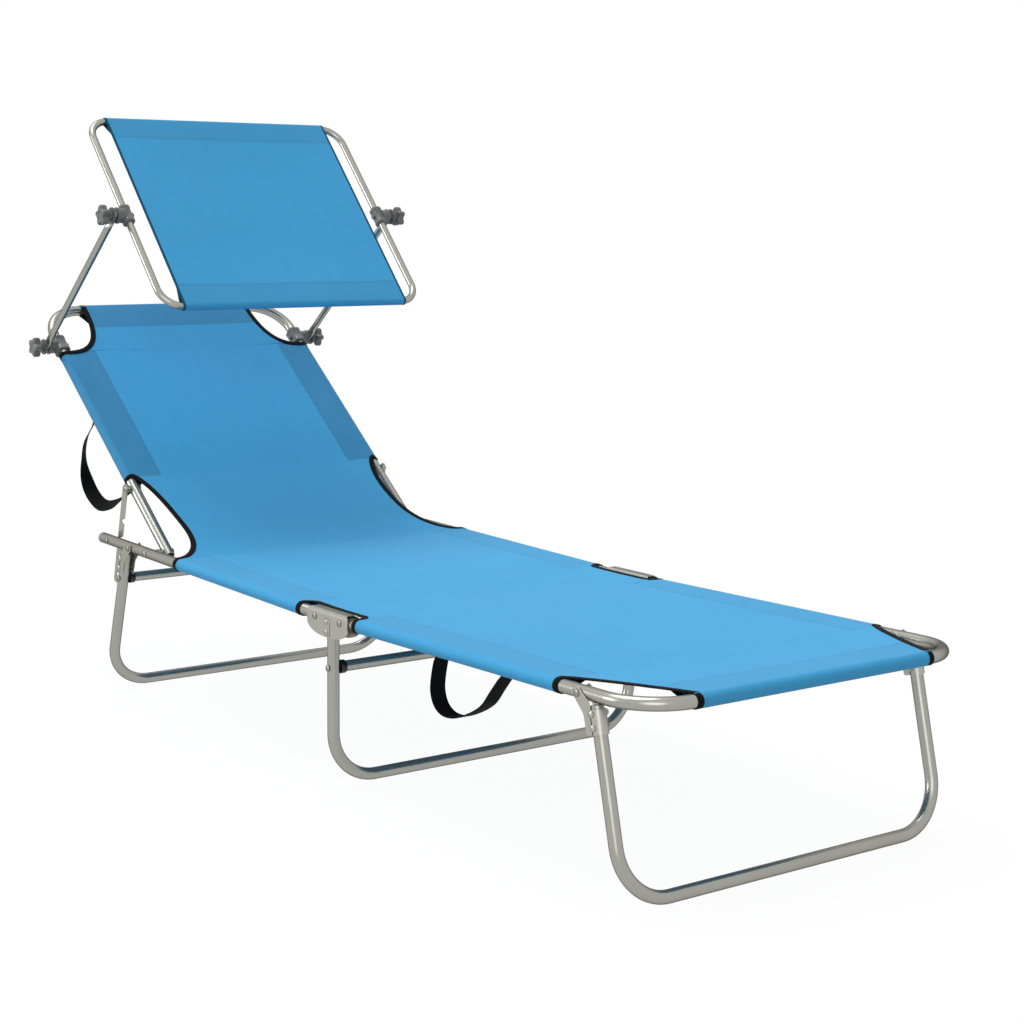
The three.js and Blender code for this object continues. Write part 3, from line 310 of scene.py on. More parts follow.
def moulded_plastic(name, colour, roughness, grain, grain_height):
    """Moulded plastic: even colour with faint flow marks some 22 mm apart, and the fine grain of a
    textured mould."""
    material, tree = new_material(name)
    place = add_node(tree, "TexCoord").outputs["Object"]
    flow = add_node(tree, "TexNoise", None, {
        "Vector": place, "Scale": 1 / (22.22 * MM), "Detail": 3.0})
    fine = add_node(tree, "TexVoronoi", None, {"Vector": place, "Scale": 1 / grain})
    dark = tuple(channel * 0.8 for channel in colour)
    tint = add_node(tree, "Mix", {"data_type": "RGBA"}, {
        0: flow.outputs["Fac"], 6: (*dark, 1), 7: (*colour, 1)})
    bump = add_node(tree, "Bump", None, {
        "Strength": 0.5, "Distance": grain_height, "Height": fine.outputs["Distance"]})
    shader = add_node(tree, "BsdfPrincipled", None, {
        "Base Color": tint.outputs[2], "Roughness": roughness, "IOR": 1.5,
        "Normal": bump.outputs["Normal"]})
    add_node(tree, "OutputMaterial", None, {"Surface": shader.outputs["BSDF"]})
    return material


def woven_cloth():
    """Plain-woven polyester, coated on the back. Warp and weft are sine ridges over the cloth's own
    lengths, long slubs vary the colour, the doubled hems carry painted shade, and a dashed line is the
    stitching. Real threads lie 0.6 mm apart; they are drawn four times as coarse so that they show. The
    per-point attribute sets how strong the painted shade on the doubled hems is: their colour is darkened
    as if less light came through them than through a single layer."""
    material, tree = new_material("woven polyester cloth")
    uv = add_node(tree, "UVMap", {"uv_map": "cloth"}).outputs["UV"]
    split = add_node(tree, "SeparateXYZ", None, {0: uv})
    turn = 2 * math.pi / sizes().thread_pitch
    slub_width, slub_length, cloud_size = 2.6316 * MM, 111.1 * MM, 200 * MM
    thread_contrast, slub_contrast, cloud_contrast = 0.035, 0.16, 0.09
    stitch_inset, stitch_length, stitch_sink = 3.5 * MM, 5 * MM, 3.0

    def ridge(axis):
        scaled = add_node(tree, "Math", {"operation": "MULTIPLY"}, {
            0: split.outputs[axis], 1: turn})
        return add_node(tree, "Math", {"operation": "SINE"}, {0: scaled.outputs[0]}).outputs[0]

    weave = add_node(tree, "Math", {"operation": "MULTIPLY"}, {0: ridge("X"), 1: ridge("Y")})

    def slub(across, along):
        stretched = add_node(tree, "VectorMath", {"operation": "MULTIPLY"}, {
            0: uv, 1: (1 / across, 1 / along, 0.0)})
        return add_node(tree, "TexNoise", None, {
            "Vector": stretched.outputs[0], "Scale": 1.0, "Detail": 2.0}).outputs["Fac"]

    slubs = add_node(tree, "Math", {"operation": "ADD"}, {
        0: slub(slub_width, slub_length), 1: slub(slub_length, slub_width)})
    clouds = add_node(tree, "TexNoise", None, {"Vector": uv, "Scale": 1 / cloud_size, "Detail": 3.0})

    # Lighter and darker thread, slubs and clouds, less their own mean, add up to a factor round one
    thread_tone = add_node(tree, "Math", {"operation": "MULTIPLY_ADD"}, {
        0: weave.outputs[0], 1: thread_contrast, 2: 1.0})
    slub_tone = add_node(tree, "Math", {"operation": "MULTIPLY_ADD"}, {
        0: slubs.outputs[0], 1: slub_contrast, 2: thread_tone.outputs[0]})
    cloud_tone = add_node(tree, "Math", {"operation": "MULTIPLY_ADD"}, {
        0: clouds.outputs["Fac"], 1: cloud_contrast, 2: slub_tone.outputs[0]})
    tone = add_node(tree, "Math", {"operation": "SUBTRACT"}, {
        0: cloud_tone.outputs[0], 1: slub_contrast + cloud_contrast / 2})

    # The hem attribute is the distance past the hem's edge: below zero the cloth is doubled
    hem = add_node(tree, "Attribute", {"attribute_name": "hem"}).outputs["Fac"]
    strength = add_node(tree, "Attribute", {"attribute_name": "hem_shade"}).outputs["Fac"]
    # Painted shade: where the cloth is doubled, its colour is darkened as strongly as the per-point
    # attribute says. This stands in for the light that a single layer lets through.
    doubled = add_node(tree, "MapRange", None, {
        "Value": hem, "From Min": 0.6 * MM, "From Max": -0.6 * MM, "To Max": strength})
    inset = add_node(tree, "Math", {"operation": "ADD"}, {0: hem, 1: stitch_inset})
    offset = add_node(tree, "Math", {"operation": "ABSOLUTE"}, {0: inset.outputs[0]})
    line = add_node(tree, "MapRange", None, {
        "Value": offset.outputs[0], "From Min": 0.9 * MM, "From Max": 0.4 * MM})
    both = add_node(tree, "Math", {"operation": "ADD"}, {
        0: split.outputs["X"], 1: split.outputs["Y"]})
    dash = add_node(tree, "Math", {"operation": "MULTIPLY"}, {
        0: both.outputs[0], 1: 2 * math.pi / stitch_length})
    wave = add_node(tree, "Math", {"operation": "SINE"}, {0: dash.outputs[0]})
    gaps = add_node(tree, "MapRange", None, {
        "Value": wave.outputs[0], "From Min": -0.9, "From Max": -0.5, "To Min": 0.45})
    stitch = add_node(tree, "Math", {"operation": "MULTIPLY"}, {
        0: line.outputs["Result"], 1: gaps.outputs["Result"]})

    cloth = (*colours().cloth, 1)
    # The doubled cloth's colour is the cloth's own, darkened as painted shade
    hem_shaded_cloth = tuple(channel * share for channel, share in zip(cloth, (0.74, 0.72, 0.74, 1)))
    thread_colour = tuple(channel * 0.62 for channel in cloth[:3]) + (1,)
    panel = add_node(tree, "Mix", {"data_type": "RGBA"}, {
        0: doubled.outputs["Result"], 6: cloth, 7: hem_shaded_cloth})
    sewn = add_node(tree, "Mix", {"data_type": "RGBA"}, {
        0: stitch.outputs[0], 6: panel.outputs[2], 7: thread_colour})
    toned = add_node(tree, "VectorMath", {"operation": "SCALE"}, {
        0: sewn.outputs[2], "Scale": tone.outputs[0]})

    sunk = add_node(tree, "Math", {"operation": "MULTIPLY_ADD"}, {
        0: stitch.outputs[0], 1: -stitch_sink, 2: weave.outputs[0]})
    bump = add_node(tree, "Bump", None, {
        "Strength": 0.35, "Distance": 0.12 * MM, "Height": sunk.outputs[0]})
    shader = add_node(tree, "BsdfPrincipled", None, {
        "Base Color": toned.outputs[0], "Roughness": 0.72, "IOR": 1.5, "Sheen Weight": 0.05,
        "Sheen Roughness": 0.4, "Normal": bump.outputs["Normal"]})
    glow = add_node(tree, "BsdfTranslucent", None, {"Color": toned.outputs[0]})
    mixed = add_node(tree, "MixShader", None, {
        0: 0.12, 1: shader.outputs["BSDF"], 2: glow.outputs["BSDF"]})
    add_node(tree, "OutputMaterial", None, {"Surface": mixed.outputs["Shader"]})
    return material


def ribbed_tape(name, base, rib_pitch, rib_height):
    """Woven tape: cross ribs over its own length, which the length attribute measures, and a fuzz of
    loose fibres some 1.1 mm apart."""
    material, tree = new_material(name)
    length = add_node(tree, "Attribute", {"attribute_name": "length"}).outputs["Fac"]
    scaled = add_node(tree, "Math", {"operation": "MULTIPLY"}, {
        0: length, 1: 2 * math.pi / rib_pitch})
    ribs = add_node(tree, "Math", {"operation": "SINE"}, {0: scaled.outputs[0]})
    place = add_node(tree, "TexCoord").outputs["Object"]
    fuzz = add_node(tree, "TexNoise", None, {
        "Vector": place, "Scale": 1 / (1.1111 * MM), "Detail": 2.0})
    light = tuple(min(1.0, channel * 1.8 + 0.002) for channel in base)
    tint = add_node(tree, "Mix", {"data_type": "RGBA"}, {
        0: fuzz.outputs["Fac"], 6: (*base, 1), 7: (*light, 1)})
    bump = add_node(tree, "Bump", None, {
        "Strength": 0.6, "Distance": rib_height, "Height": ribs.outputs[0]})
    shader = add_node(tree, "BsdfPrincipled", None, {
        "Base Color": tint.outputs[2], "Roughness": 0.78, "IOR": 1.5, "Specular IOR Level": 0.07,
        "Normal": bump.outputs["Normal"]})
    add_node(tree, "OutputMaterial", None, {"Surface": shader.outputs["BSDF"]})
    return material


def make_materials():
    """All finishes by the record's slot names, plus the binding tape."""
    tube = tuple(colours().tube)
    fitting = tuple(colours().fitting)
    trim = tuple(colours().trim)
    return {
        # Silver powder coat over round steel tube: bright, with soft streaked reflections
        "steel_tube": coated_metal("silver powder coated steel tube", tube, 0.24, 1.6 * MM, 0.08, 0.8),
        # The same coat over folded sheet, duller from the press, with its colour made 1.2 times as light as
        # the tube's as a painted highlight for the brighter saddle tops
        "sheet_steel": coated_metal(
            "silver powder coated sheet steel", tuple(min(1, channel * 1.2) for channel in tube),
            0.3, 0.7 * MM, 0.12, 0.75),
        # Zinc-plated rivets and screws: greyer and a little cloudy
        "rivet_steel": coated_metal(
            "zinc plated steel", tuple(channel * 0.9 for channel in tube), 0.33, 0.5 * MM, 0.22, 1.0),
        # Glass-filled nylon from a grained mould: mid grey, matt
        "grey_plastic": moulded_plastic("moulded grey nylon", fitting, 0.36, 0.9 * MM, 0.04 * MM),
        # Polyethylene plug: pale grey, waxy
        "pale_plastic": moulded_plastic(
            "moulded pale polyethylene", from_hex("B4B4AC"), 0.42, 1.2 * MM, 0.02 * MM),
        # Polypropylene end sleeve: black, slightly shiny
        "black_plastic": moulded_plastic("moulded black polypropylene", trim, 0.4, 1.1 * MM, 0.03 * MM),
        # Polyester cloth: light blue, matt, with painted shade that darkens its doubled hems, as if less
        # light came through them
        "blue_fabric": woven_cloth(),
        # Heavy webbing with ribs 1.6 mm apart
        "black_webbing": ribbed_tape("black polypropylene webbing", trim, 1.6 * MM, 0.2 * MM),
        # Thin binding tape with ribs 0.8 mm apart, drawn twice as coarse
        "binding": ribbed_tape("black polyester binding tape", trim, 1.6 * MM, 0.08 * MM),
        # The cloth's own folded edge, four layers thick, with painted shade: its colour is the cloth's at
        # 0.16, standing in for the shadow along the edge
        "painted_shade_edge": ribbed_tape(
            "folded polyester edge in painted shade", tuple(channel * 0.16 for channel in colours().cloth),
            2.4 * MM, 0.05 * MM),
    }


finishes = {}


def finish_of(slot):
    """The finish of a slot; all are made at the first call."""
    if not finishes:
        finishes.update(make_materials())
    return finishes[slot]


# Mesh building


class Shell:
    """Points with quads and any larger closing faces, in the row frame."""

    def __init__(self, points, quads, caps=(), data=None):
        self.points = np.asarray(points, float).reshape(-1, 3)
        self.quads = np.asarray(quads, int).reshape(-1, 4)
        self.caps = [np.asarray(cap, int) for cap in caps]
        self.data = data or {}

    def volume(self):
        """Signed volume, as the sum of the tetrahedra from the origin to each triangle."""
        corners = [self.quads[:, [0, 1, 2]], self.quads[:, [0, 2, 3]]]
        for cap in self.caps:
            first = np.full(len(cap) - 2, cap[0])
            corners.append(np.stack([first, cap[1:-1], cap[2:]], axis=-1))
        a, b, c = np.moveaxis(self.points[np.concatenate(corners)], 1, 0)
        return float(np.einsum("ij,ij->i", a, np.cross(b, c)).sum() / 6)

    def outward(self):
        """The same shell with its faces pointing outwards."""
        if self.volume() < 0:
            self.quads = self.quads[:, ::-1]
            self.caps = [cap[::-1] for cap in self.caps]
        return self


def joined(shells):
    """One shell of several."""
    starts = np.cumsum([0] + [len(shell.points) for shell in shells[:-1]])
    return Shell(
        np.concatenate([shell.points for shell in shells]),
        np.concatenate([shell.quads + start for shell, start in zip(shells, starts)]),
        [cap + start for shell, start in zip(shells, starts) for cap in shell.caps],
    )


def grid_quads(rows, columns, around=False, keep=None):
    """Quads of a grid of points; with around, the last column meets the first. Keep marks the cells used."""
    index = np.arange(rows * columns).reshape(rows, columns)
    if around:
        index = np.concatenate([index, index[:, :1]], axis=1)
    quads = np.stack([index[:-1, :-1], index[:-1, 1:], index[1:, 1:], index[1:, :-1]], axis=-1)
    return quads[keep] if keep is not None else quads.reshape(-1, 4)


def ring_shell(rings, looped=False, data=None):
    """Closed skin over rings of points (rings, sides, 3). Looped rings meet end to end, and others get
    a flat face at each end."""
    rows, columns = rings.shape[:2]
    if looped:
        order = np.concatenate([np.arange(rows), [0]])
        index = (order[:, None] * columns + np.arange(columns + 1) % columns)
        quads = np.stack([index[:-1, :-1], index[:-1, 1:], index[1:, 1:], index[1:, :-1]], axis=-1)
        return Shell(rings, quads, (), data).outward()
    first = np.arange(columns)
    last = first + (rows - 1) * columns
    return Shell(rings, grid_quads(rows, columns, around=True), [first[::-1], last], data).outward()


def bent_sheet(outer, inner):
    """Closed skin of a bent sheet, given as two grids of points that are joined along their rims."""
    rows, columns = outer.shape[:2]
    count = rows * columns
    index = np.arange(count).reshape(rows, columns)
    rim = np.concatenate([index[0, :-1], index[:-1, -1], index[-1, :0:-1], index[:0:-1, 0]])
    after = np.roll(rim, -1)
    faces = grid_quads(rows, columns)
    quads = np.concatenate([
        faces, faces[:, ::-1] + count, np.stack([rim, rim + count, after + count, after], -1)])
    return Shell(np.concatenate([outer.reshape(-1, 3), inner.reshape(-1, 3)]), quads).outward()


def unit(vectors):
    """Vectors divided by their own lengths."""
    return vectors / np.linalg.norm(vectors, axis=-1, keepdims=True)


def make_piece(name, shell, sharp_angle=35, uv=None):
    """A mesh object of a shell at the origin, smooth but for edges sharper than the angle in degrees."""
    mesh = bpy.data.meshes.new(name)
    faces = shell.quads.tolist() + [cap.tolist() for cap in shell.caps]
    mesh.from_pydata(shell.points.tolist(), [], faces)
    mesh.polygons.foreach_set("use_smooth", np.ones(len(mesh.polygons), bool))
    if uv is not None:
        corner = np.zeros(len(mesh.loops), int)
        mesh.loops.foreach_get("vertex_index", corner)
        mesh.uv_layers.new(name="cloth").data.foreach_set("uv", uv[corner].astype(np.float32).ravel())
    for key, values in shell.data.items():
        layer = mesh.attributes.new(key, "FLOAT", "POINT")
        layer.data.foreach_set("value", np.asarray(values, np.float32))
    mesh.update()
    mesh.set_sharp_from_angle(angle=math.radians(sharp_angle))
    piece = bpy.data.objects.new(name, mesh)
    bpy.context.scene.collection.objects.link(piece)
    return piece


def dress(piece, slot, body, nodes=()):
    """Give a piece its finish, let it ride on a body, and hide the CAD nodes that it stands for."""
    piece.data.materials.append(finish_of(slot))
    if body:
        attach(piece, body)
    if nodes:
        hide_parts(*nodes)
    return piece


def add_piece(name, shell, slot, body, *nodes):
    """Make a rigid piece of a shell, and dress it."""
    return dress(make_piece(name, shell), slot, body, nodes)


def fade(distance, reach):
    """From 0 at no distance to 1 at the reach, by a smooth step."""
    share = np.clip(distance / reach, 0, 1)
    return share**2 * (3 - 2 * share)


def rounded_path(corners, radius, bend_steps=14):
    """Points and directions along straights between 2D corners, each corner an arc of the radius."""
    corners = np.asarray(corners, float)
    points, directions = [corners[:1]], [unit(corners[1:2] - corners[:1])]
    for before, corner, after in zip(corners[:-2], corners[1:-1], corners[2:]):
        incoming, outgoing = unit(corner - before), unit(after - corner)
        turn = math.acos(float(np.clip(incoming @ outgoing, -1, 1)))
        inward = unit(outgoing - incoming * (incoming @ outgoing))
        start = corner - incoming * radius * math.tan(turn / 2)
        angle = np.linspace(0, turn, bend_steps + 1)[:, None]
        points.append(start + inward * radius * (1 - np.cos(angle)) + incoming * radius * np.sin(angle))
        directions.append(incoming * np.cos(angle) + inward * np.sin(angle))
    points.append(corners[-1:])
    directions.append(unit(corners[-1:] - corners[-2:-1]))
    return np.concatenate(points), np.concatenate(directions)


def tube_rings(centres, directions, normal, radii):
    """Rings round a flat path: centre + radius * (cos(a) * across + sin(a) * normal), where across is at
    right angles to the path in its own plane."""
    angle = np.arange(round_sides) * 2 * math.pi / round_sides
    across = np.cross(directions, normal)
    spokes = np.cos(angle)[None, :, None] * across[:, None] + np.sin(angle)[None, :, None] * normal
    return centres[:, None] + np.asarray(radii, float)[:, None, None] * spokes


def open_tube(centres, directions, normal, radius, wall, nose=(0, 0)):
    """A tube along a path with real open ends: the skin runs from a floor inside the bore, over the
    rounded rim, along the outside, and back into the other bore. A nose rounds an end in side view."""
    bore, edge = 14 * MM, 0.35 * MM
    start, stop = directions[0], directions[-1]
    centres = np.concatenate([
        centres[:1] + start * bore, centres[:1], centres[:1], centres[:1] + start * edge, centres[1:-1],
        centres[-1:] - stop * edge, centres[-1:], centres[-1:], centres[-1:] - stop * bore])
    directions = np.concatenate([
        np.repeat(start[None], 4, 0), directions[1:-1], np.repeat(stop[None], 4, 0)])
    radii = np.full(len(centres), radius)
    radii[[0, 1, -2, -1]] = radius - wall
    radii[[2, -3]] = radius - edge
    rings = tube_rings(centres, directions, normal, radii)
    for end, rows, way in ((0, slice(1, 4), -start), (1, slice(-4, -1), stop)):
        if nose[end]:
            height = (rings[rows] - centres[rows][:, None]) @ normal
            bulge = np.sqrt(np.maximum(0, radius**2 - height**2))
            rings[rows] += (bulge - radius)[..., None] * way
    return ring_shell(rings)


def turned(profile, centre, axis, sides):
    """A turned piece: profile pairs of (radius, place along the axis) carried round the axis."""
    profile = np.asarray(profile, float)
    axis = unit(np.asarray(axis, float))
    side = unit(np.cross(axis, [0.0, 0.0, 1.0] if abs(axis[2]) < 0.9 else [0.0, 1.0, 0.0]))
    other = np.cross(axis, side)
    angle = (np.arange(sides) + 0.5) * 2 * math.pi / sides
    spokes = np.cos(angle)[:, None] * side + np.sin(angle)[:, None] * other
    rings = (np.asarray(centre, float) + profile[:, 1, None, None] * axis
             + profile[:, 0, None, None] * spokes)
    return ring_shell(rings)


def dome(radius, start, height, steps=5):
    """Profile of a domed head from its rim to its crown: an ellipse of the radius and height."""
    angle = np.linspace(0, math.pi / 2 * 0.94, steps)
    return np.stack([radius * np.cos(angle), start + height * np.sin(angle)], axis=-1)


def rivet_profile(low, high, head=rivet_head_radius):
    """A rivet from low to high, with a domed head on a short rim at each end."""
    rim = 0.4 * rivet_head_height
    crown = dome(head * 0.97, high + rim, rivet_head_height - rim)[1:]
    top = np.concatenate([[[head, high], [head, high + rim]], crown])
    bottom = top[::-1] * [1, -1] + [0, low + high]
    return np.concatenate([bottom, [[rivet_radius, low], [rivet_radius, high]], top])


def spaced_profile(low, high, shaft, spacer, first, last):
    """A rivet from low to high with domed heads, whose shaft widens to a spacer from first to last."""
    return np.concatenate([
        dome(rivet_head_radius, 0, rivet_head_height)[::-1] * [1, -1] + [0, low],
        [[shaft, low], [shaft, first], [spacer, first], [spacer, last], [shaft, last], [shaft, high]],
        dome(rivet_head_radius, high, rivet_head_height)])


def fillet(corners, radii, steps=5):
    """A closed outline of 2D corners, each cut by an arc of its own radius, in steps + 1 points."""
    corners = np.asarray(corners, float)
    before = unit(np.roll(corners, 1, 0) - corners)
    after = unit(np.roll(corners, -1, 0) - corners)
    half = np.arccos(np.clip((before * after).sum(1), -1, 1)) / 2
    radii = np.asarray(radii, float)
    reach = radii / np.tan(half)
    centre = corners + unit(before + after) * (radii / np.sin(half))[:, None]
    start = corners + before * reach[:, None] - centre
    stop = corners + after * reach[:, None] - centre
    share = np.linspace(0, 1, steps + 1)[None, :, None]
    swing = (math.pi - 2 * half)[:, None, None]
    arc = np.sin((1 - share) * swing) * start[:, None] + np.sin(share * swing) * stop[:, None]
    return (centre[:, None] + arc / np.sin(swing)).reshape(-1, 2)


def plate(outline, low, high, place, edge=0.3 * MM):
    """A flat plate of a 2D outline between two planes, with its rims bevelled by the edge."""
    outline = np.asarray(outline, float)
    step = unit(np.roll(outline, -1, 0) - np.roll(outline, 1, 0))
    turn = np.sign(np.cross(outline, np.roll(outline, -1, 0)).sum())
    inset = outline + edge * turn * np.stack([-step[:, 1], step[:, 0]], axis=-1)
    levels = [(low, inset), (low + edge, outline), (high - edge, outline), (high, inset)]
    rings = np.stack([place(x, ring[:, 0], ring[:, 1]) for x, ring in levels])
    return ring_shell(rings)


def plate_beside(outline, middle, way, near, far, place, edge=0.3 * MM):
    """A plate between two distances from a middle, on the side that the way gives: -1 or 1."""
    low, high = sorted((way * near, way * far))
    return plate(outline, middle + low, middle + high, place, edge)


def about(section, along, up=0):
    """Placing function for outlines drawn about a point on a section, in planes across X."""
    return lambda x, a, b: section.place(x, along + a, up + b)


def hexagon(radius):
    """Outline of a nut: six corners at the radius."""
    angle = np.arange(6) * math.pi / 3
    return radius * np.stack([np.cos(angle), np.sin(angle)], -1)


# Tubes


def flat_tube(section, corners, radius, wall, corner_radius, nose=(0, 0)):
    """A tube whose path lies in a section's own plane, through 2D corners (x, along)."""
    points, directions = rounded_path(corners, corner_radius)
    centres = section.place(points[:, 0], points[:, 1], 0)
    ways = section.direction(directions[:, 0], directions[:, 1], 0)
    return open_tube(centres, ways, section.direction(0, 0, 1), radius, wall, nose=nose)


def leg_tube(section, offset, top, bottom):
    """A U-shaped leg: its path lies in the plane at the offset along the section, through (x, up)."""
    corners = [(-side_x, top), (-side_x, bottom), (side_x, bottom), (side_x, top)]
    points, directions = rounded_path(corners, leg_corner_radius, 18)
    centres = section.place(points[:, 0], offset, points[:, 1])
    ways = section.direction(directions[:, 0], 0, directions[:, 1])
    return open_tube(centres, ways, section.direction(0, 1, 0), tube_radius, tube_wall)


def leg_top(tilt):
    """Height of a leg tube's top end from its pivot, below zero, so that the tube's nearest corner stays
    the fit gap below the frame tube, whose slope is the tilt."""
    return -(tube_reach + fit_gap + (tube_reach + leg_pivot_offset) * math.sin(tilt)) / math.cos(tilt)


rear_leg_top = leg_top(rear_leg_splay - seat_section.slope)
foot_leg_top = leg_top(foot_leg_splay + foot_section.slope)


def leg_bottom(section, splay):
    """Height of the crossbar's axis from the pivot, below zero, so that the crossbar rests on the floor."""
    height = section.origin[1]
    return -(height + leg_pivot_offset * math.sin(splay) - tube_radius) / math.cos(splay)


class LOUNGER_OT_frame_tubes(bpy.types.Operator):
    """Build the seat tubes, foot frame and backrest frame with open ends and plugs"""

    bl_idname = "lounger.frame_tubes"
    bl_label = "Frame tubes"

    def execute(self, context):
        for side, sign in SIDES:
            corners = [(sign * side_x, -tube_radius), (sign * side_x, seat_tube_length)]
            shell = flat_tube(seat_section, corners, tube_radius, tube_wall, 0, nose=(1, 0))
            add_piece(f"{side}_seat_tube", shell, "steel_tube", "seat_frame", f"seat_tube_{side}")

            bore = tube_radius - tube_wall - fit_gap
            cap = seat_tube_length + fit_gap
            profile = np.concatenate([
                [[bore * 0.9, cap - 16 * MM], [bore, cap - 14 * MM], [bore, cap],
                 [tube_radius * 0.98, cap], [tube_radius, cap + 0.6 * MM]],
                dome(tube_radius, cap + 1.4 * MM, 2.8 * MM, 7)])
            centre = seat_section.place(sign * side_x, 0, 0)
            plug = turned(profile, centre, seat_section.direction(0, 1, 0), round_sides)
            add_piece(f"{side}_end_plug", plug, "pale_plastic", "seat_frame", f"tube_plug_{side}")

        corners = [(-side_x, tube_radius), (-side_x, -foot_section_length),
                   (side_x, -foot_section_length), (side_x, tube_radius)]
        shell = flat_tube(foot_section, corners, tube_radius, tube_wall, foot_corner_radius, nose=(1, 1))
        add_piece("foot_frame_tube", shell, "steel_tube", "foot_section", "foot_frame")

        corners = [(-backrest_half, -backrest_tail), (-backrest_half, backrest_length),
                   (backrest_half, backrest_length), (backrest_half, -backrest_tail)]
        shell = flat_tube(backrest_section, corners, tube_radius, tube_wall, backrest_corner_radius)
        add_piece("backrest_tube", shell, "steel_tube", "backrest", "backrest_frame")
        return {"FINISHED"}


class LOUNGER_OT_legs(bpy.types.Operator):
    """Build the three U-shaped legs"""

    bl_idname = "lounger.legs"
    bl_label = "Legs"

    def execute(self, context):
        legs = (
            ("rear_leg", "rear_legs", rear_leg_section, leg_pivot_offset, rear_leg_top,
             leg_bottom(rear_leg_section, rear_leg_splay)),
            ("middle_leg", "middle_legs", middle_section, 0, 4 * MM,
             tube_radius - middle_section.origin[1]),
            ("foot_leg", "foot_legs", foot_leg_section, -leg_pivot_offset, foot_leg_top,
             leg_bottom(foot_leg_section, foot_leg_splay)),
        )
        for node, body, section, offset, top, bottom in legs:
            shell = leg_tube(section, offset, top, bottom)
            add_piece(f"{node}_tube", shell, "steel_tube", body, node)
        return {"FINISHED"}


class LOUNGER_OT_braces(bpy.types.Operator):
    """Build the two brace tubes with their black end sleeves and screws"""

    bl_idname = "lounger.braces"
    bl_label = "Braces"

    def execute(self, context):
        sleeve_length, sleeve_wall, lip = 9 * MM, 1.2 * MM, 0.8 * MM
        inner_face = side_x - tube_reach - fit_gap
        tube_end = inner_face - 1.5 * MM
        sleeve_start = inner_face - sleeve_length
        sleeve_radius = brace_radius / math.cos(math.pi / 10) + fit_gap + sleeve_wall
        head = side_x + tube_reach + fit_gap
        for name, body, section, along, up in (
            ("rear", "rear_legs", rear_leg_section, leg_pivot_offset, -rear_brace_drop),
            ("middle", "middle_legs", middle_section, 0, -middle_brace_drop),
        ):
            points, ways = rounded_path([(-tube_end, along), (tube_end, along)], 0)
            centres = section.place(points[:, 0], points[:, 1], up)
            directions = section.direction(ways[:, 0], ways[:, 1], 0)
            shell = open_tube(centres, directions, section.direction(0, 0, 1), brace_radius, tube_wall)
            add_piece(f"{name}_brace_tube", shell, "steel_tube", body, f"{name}_brace")
            centre = section.place(0, along, up)
            for side, sign in SIDES:
                sleeve = turned([
                    [brace_radius, sleeve_start], [sleeve_radius - lip, sleeve_start],
                    [sleeve_radius, sleeve_start + lip], [sleeve_radius, inner_face - lip],
                    [sleeve_radius - lip, inner_face]], centre, (sign, 0, 0), round_sides)
                screw = turned(np.concatenate([
                    [[rivet_radius, inner_face - MM], [rivet_radius, head], [rivet_head_radius, head]],
                    dome(rivet_head_radius, head + 0.4 * MM, 1.4 * MM)]), centre, (sign, 0, 0), 20)
                piece = add_piece(f"{side}_{name}_brace_end", joined([sleeve, screw]), "black_plastic",
                                  body, f"{name}_brace_sleeve_{side}")
                piece.data.materials.append(finish_of("rivet_steel"))
                faces = np.zeros(len(piece.data.polygons), int)
                faces[len(sleeve.quads): len(sleeve.quads) + len(screw.quads)] = 1
                faces[-len(screw.caps):] = 1
                piece.data.polygons.foreach_set("material_index", faces)
        return {"FINISHED"}


# Rivets and sheet metal


class LOUNGER_OT_rivets(bpy.types.Operator):
    """Build the pivot rivets, spacers and catch pins with their domed heads"""

    bl_idname = "lounger.rivets"
    bl_label = "Rivets and pins"

    def execute(self, context):
        plate_span = plate_outer + fit_gap
        outer_face = side_x + tube_radius + fit_gap
        prop_outer = prop_plane + prop_half + fit_gap
        catch_inner = prop_plane + prop_half + slide_gap + rivet_head_height
        span = rivet_profile(side_x - plate_span, side_x + plate_span)
        catch = rivet_profile(catch_inner, outer_face)
        back = spaced_profile(
            backrest_half - tube_radius - fit_gap, outer_face, 3 * MM, 5.5 * MM,
            backrest_half + tube_reach + slide_gap, side_x - tube_reach - fit_gap)
        prop = spaced_profile(
            backrest_half - tube_reach - fit_gap, prop_outer, rivet_radius, 6 * MM,
            backrest_half + tube_reach + fit_gap, prop_plane - prop_half - fit_gap)
        for side, sign in SIDES:
            for node, body, section, along, profile in (
                ("seat_fold_pin", "middle_legs", seat_section, 0, span),
                ("foot_fold_pin", "middle_legs", foot_section, 0, span),
                ("rear_leg_pivot", "rear_legs", rear_leg_section, 0, span),
                ("foot_leg_pivot", "foot_legs", foot_leg_section, 0, span),
                ("catch_pin", "seat_frame", seat_section, catch_pin_place, catch),
                ("backrest_pivot", "seat_frame", backrest_section, 0, back),
                ("prop_pivot", "backrest", backrest_section, prop_pivot_place, prop),
            ):
                shell = turned(profile, section.place(0, along, 0), (sign, 0, 0), 20)
                add_piece(f"{side}_{node}", shell, "rivet_steel", body, f"{node}_{side}")
        return {"FINISHED"}


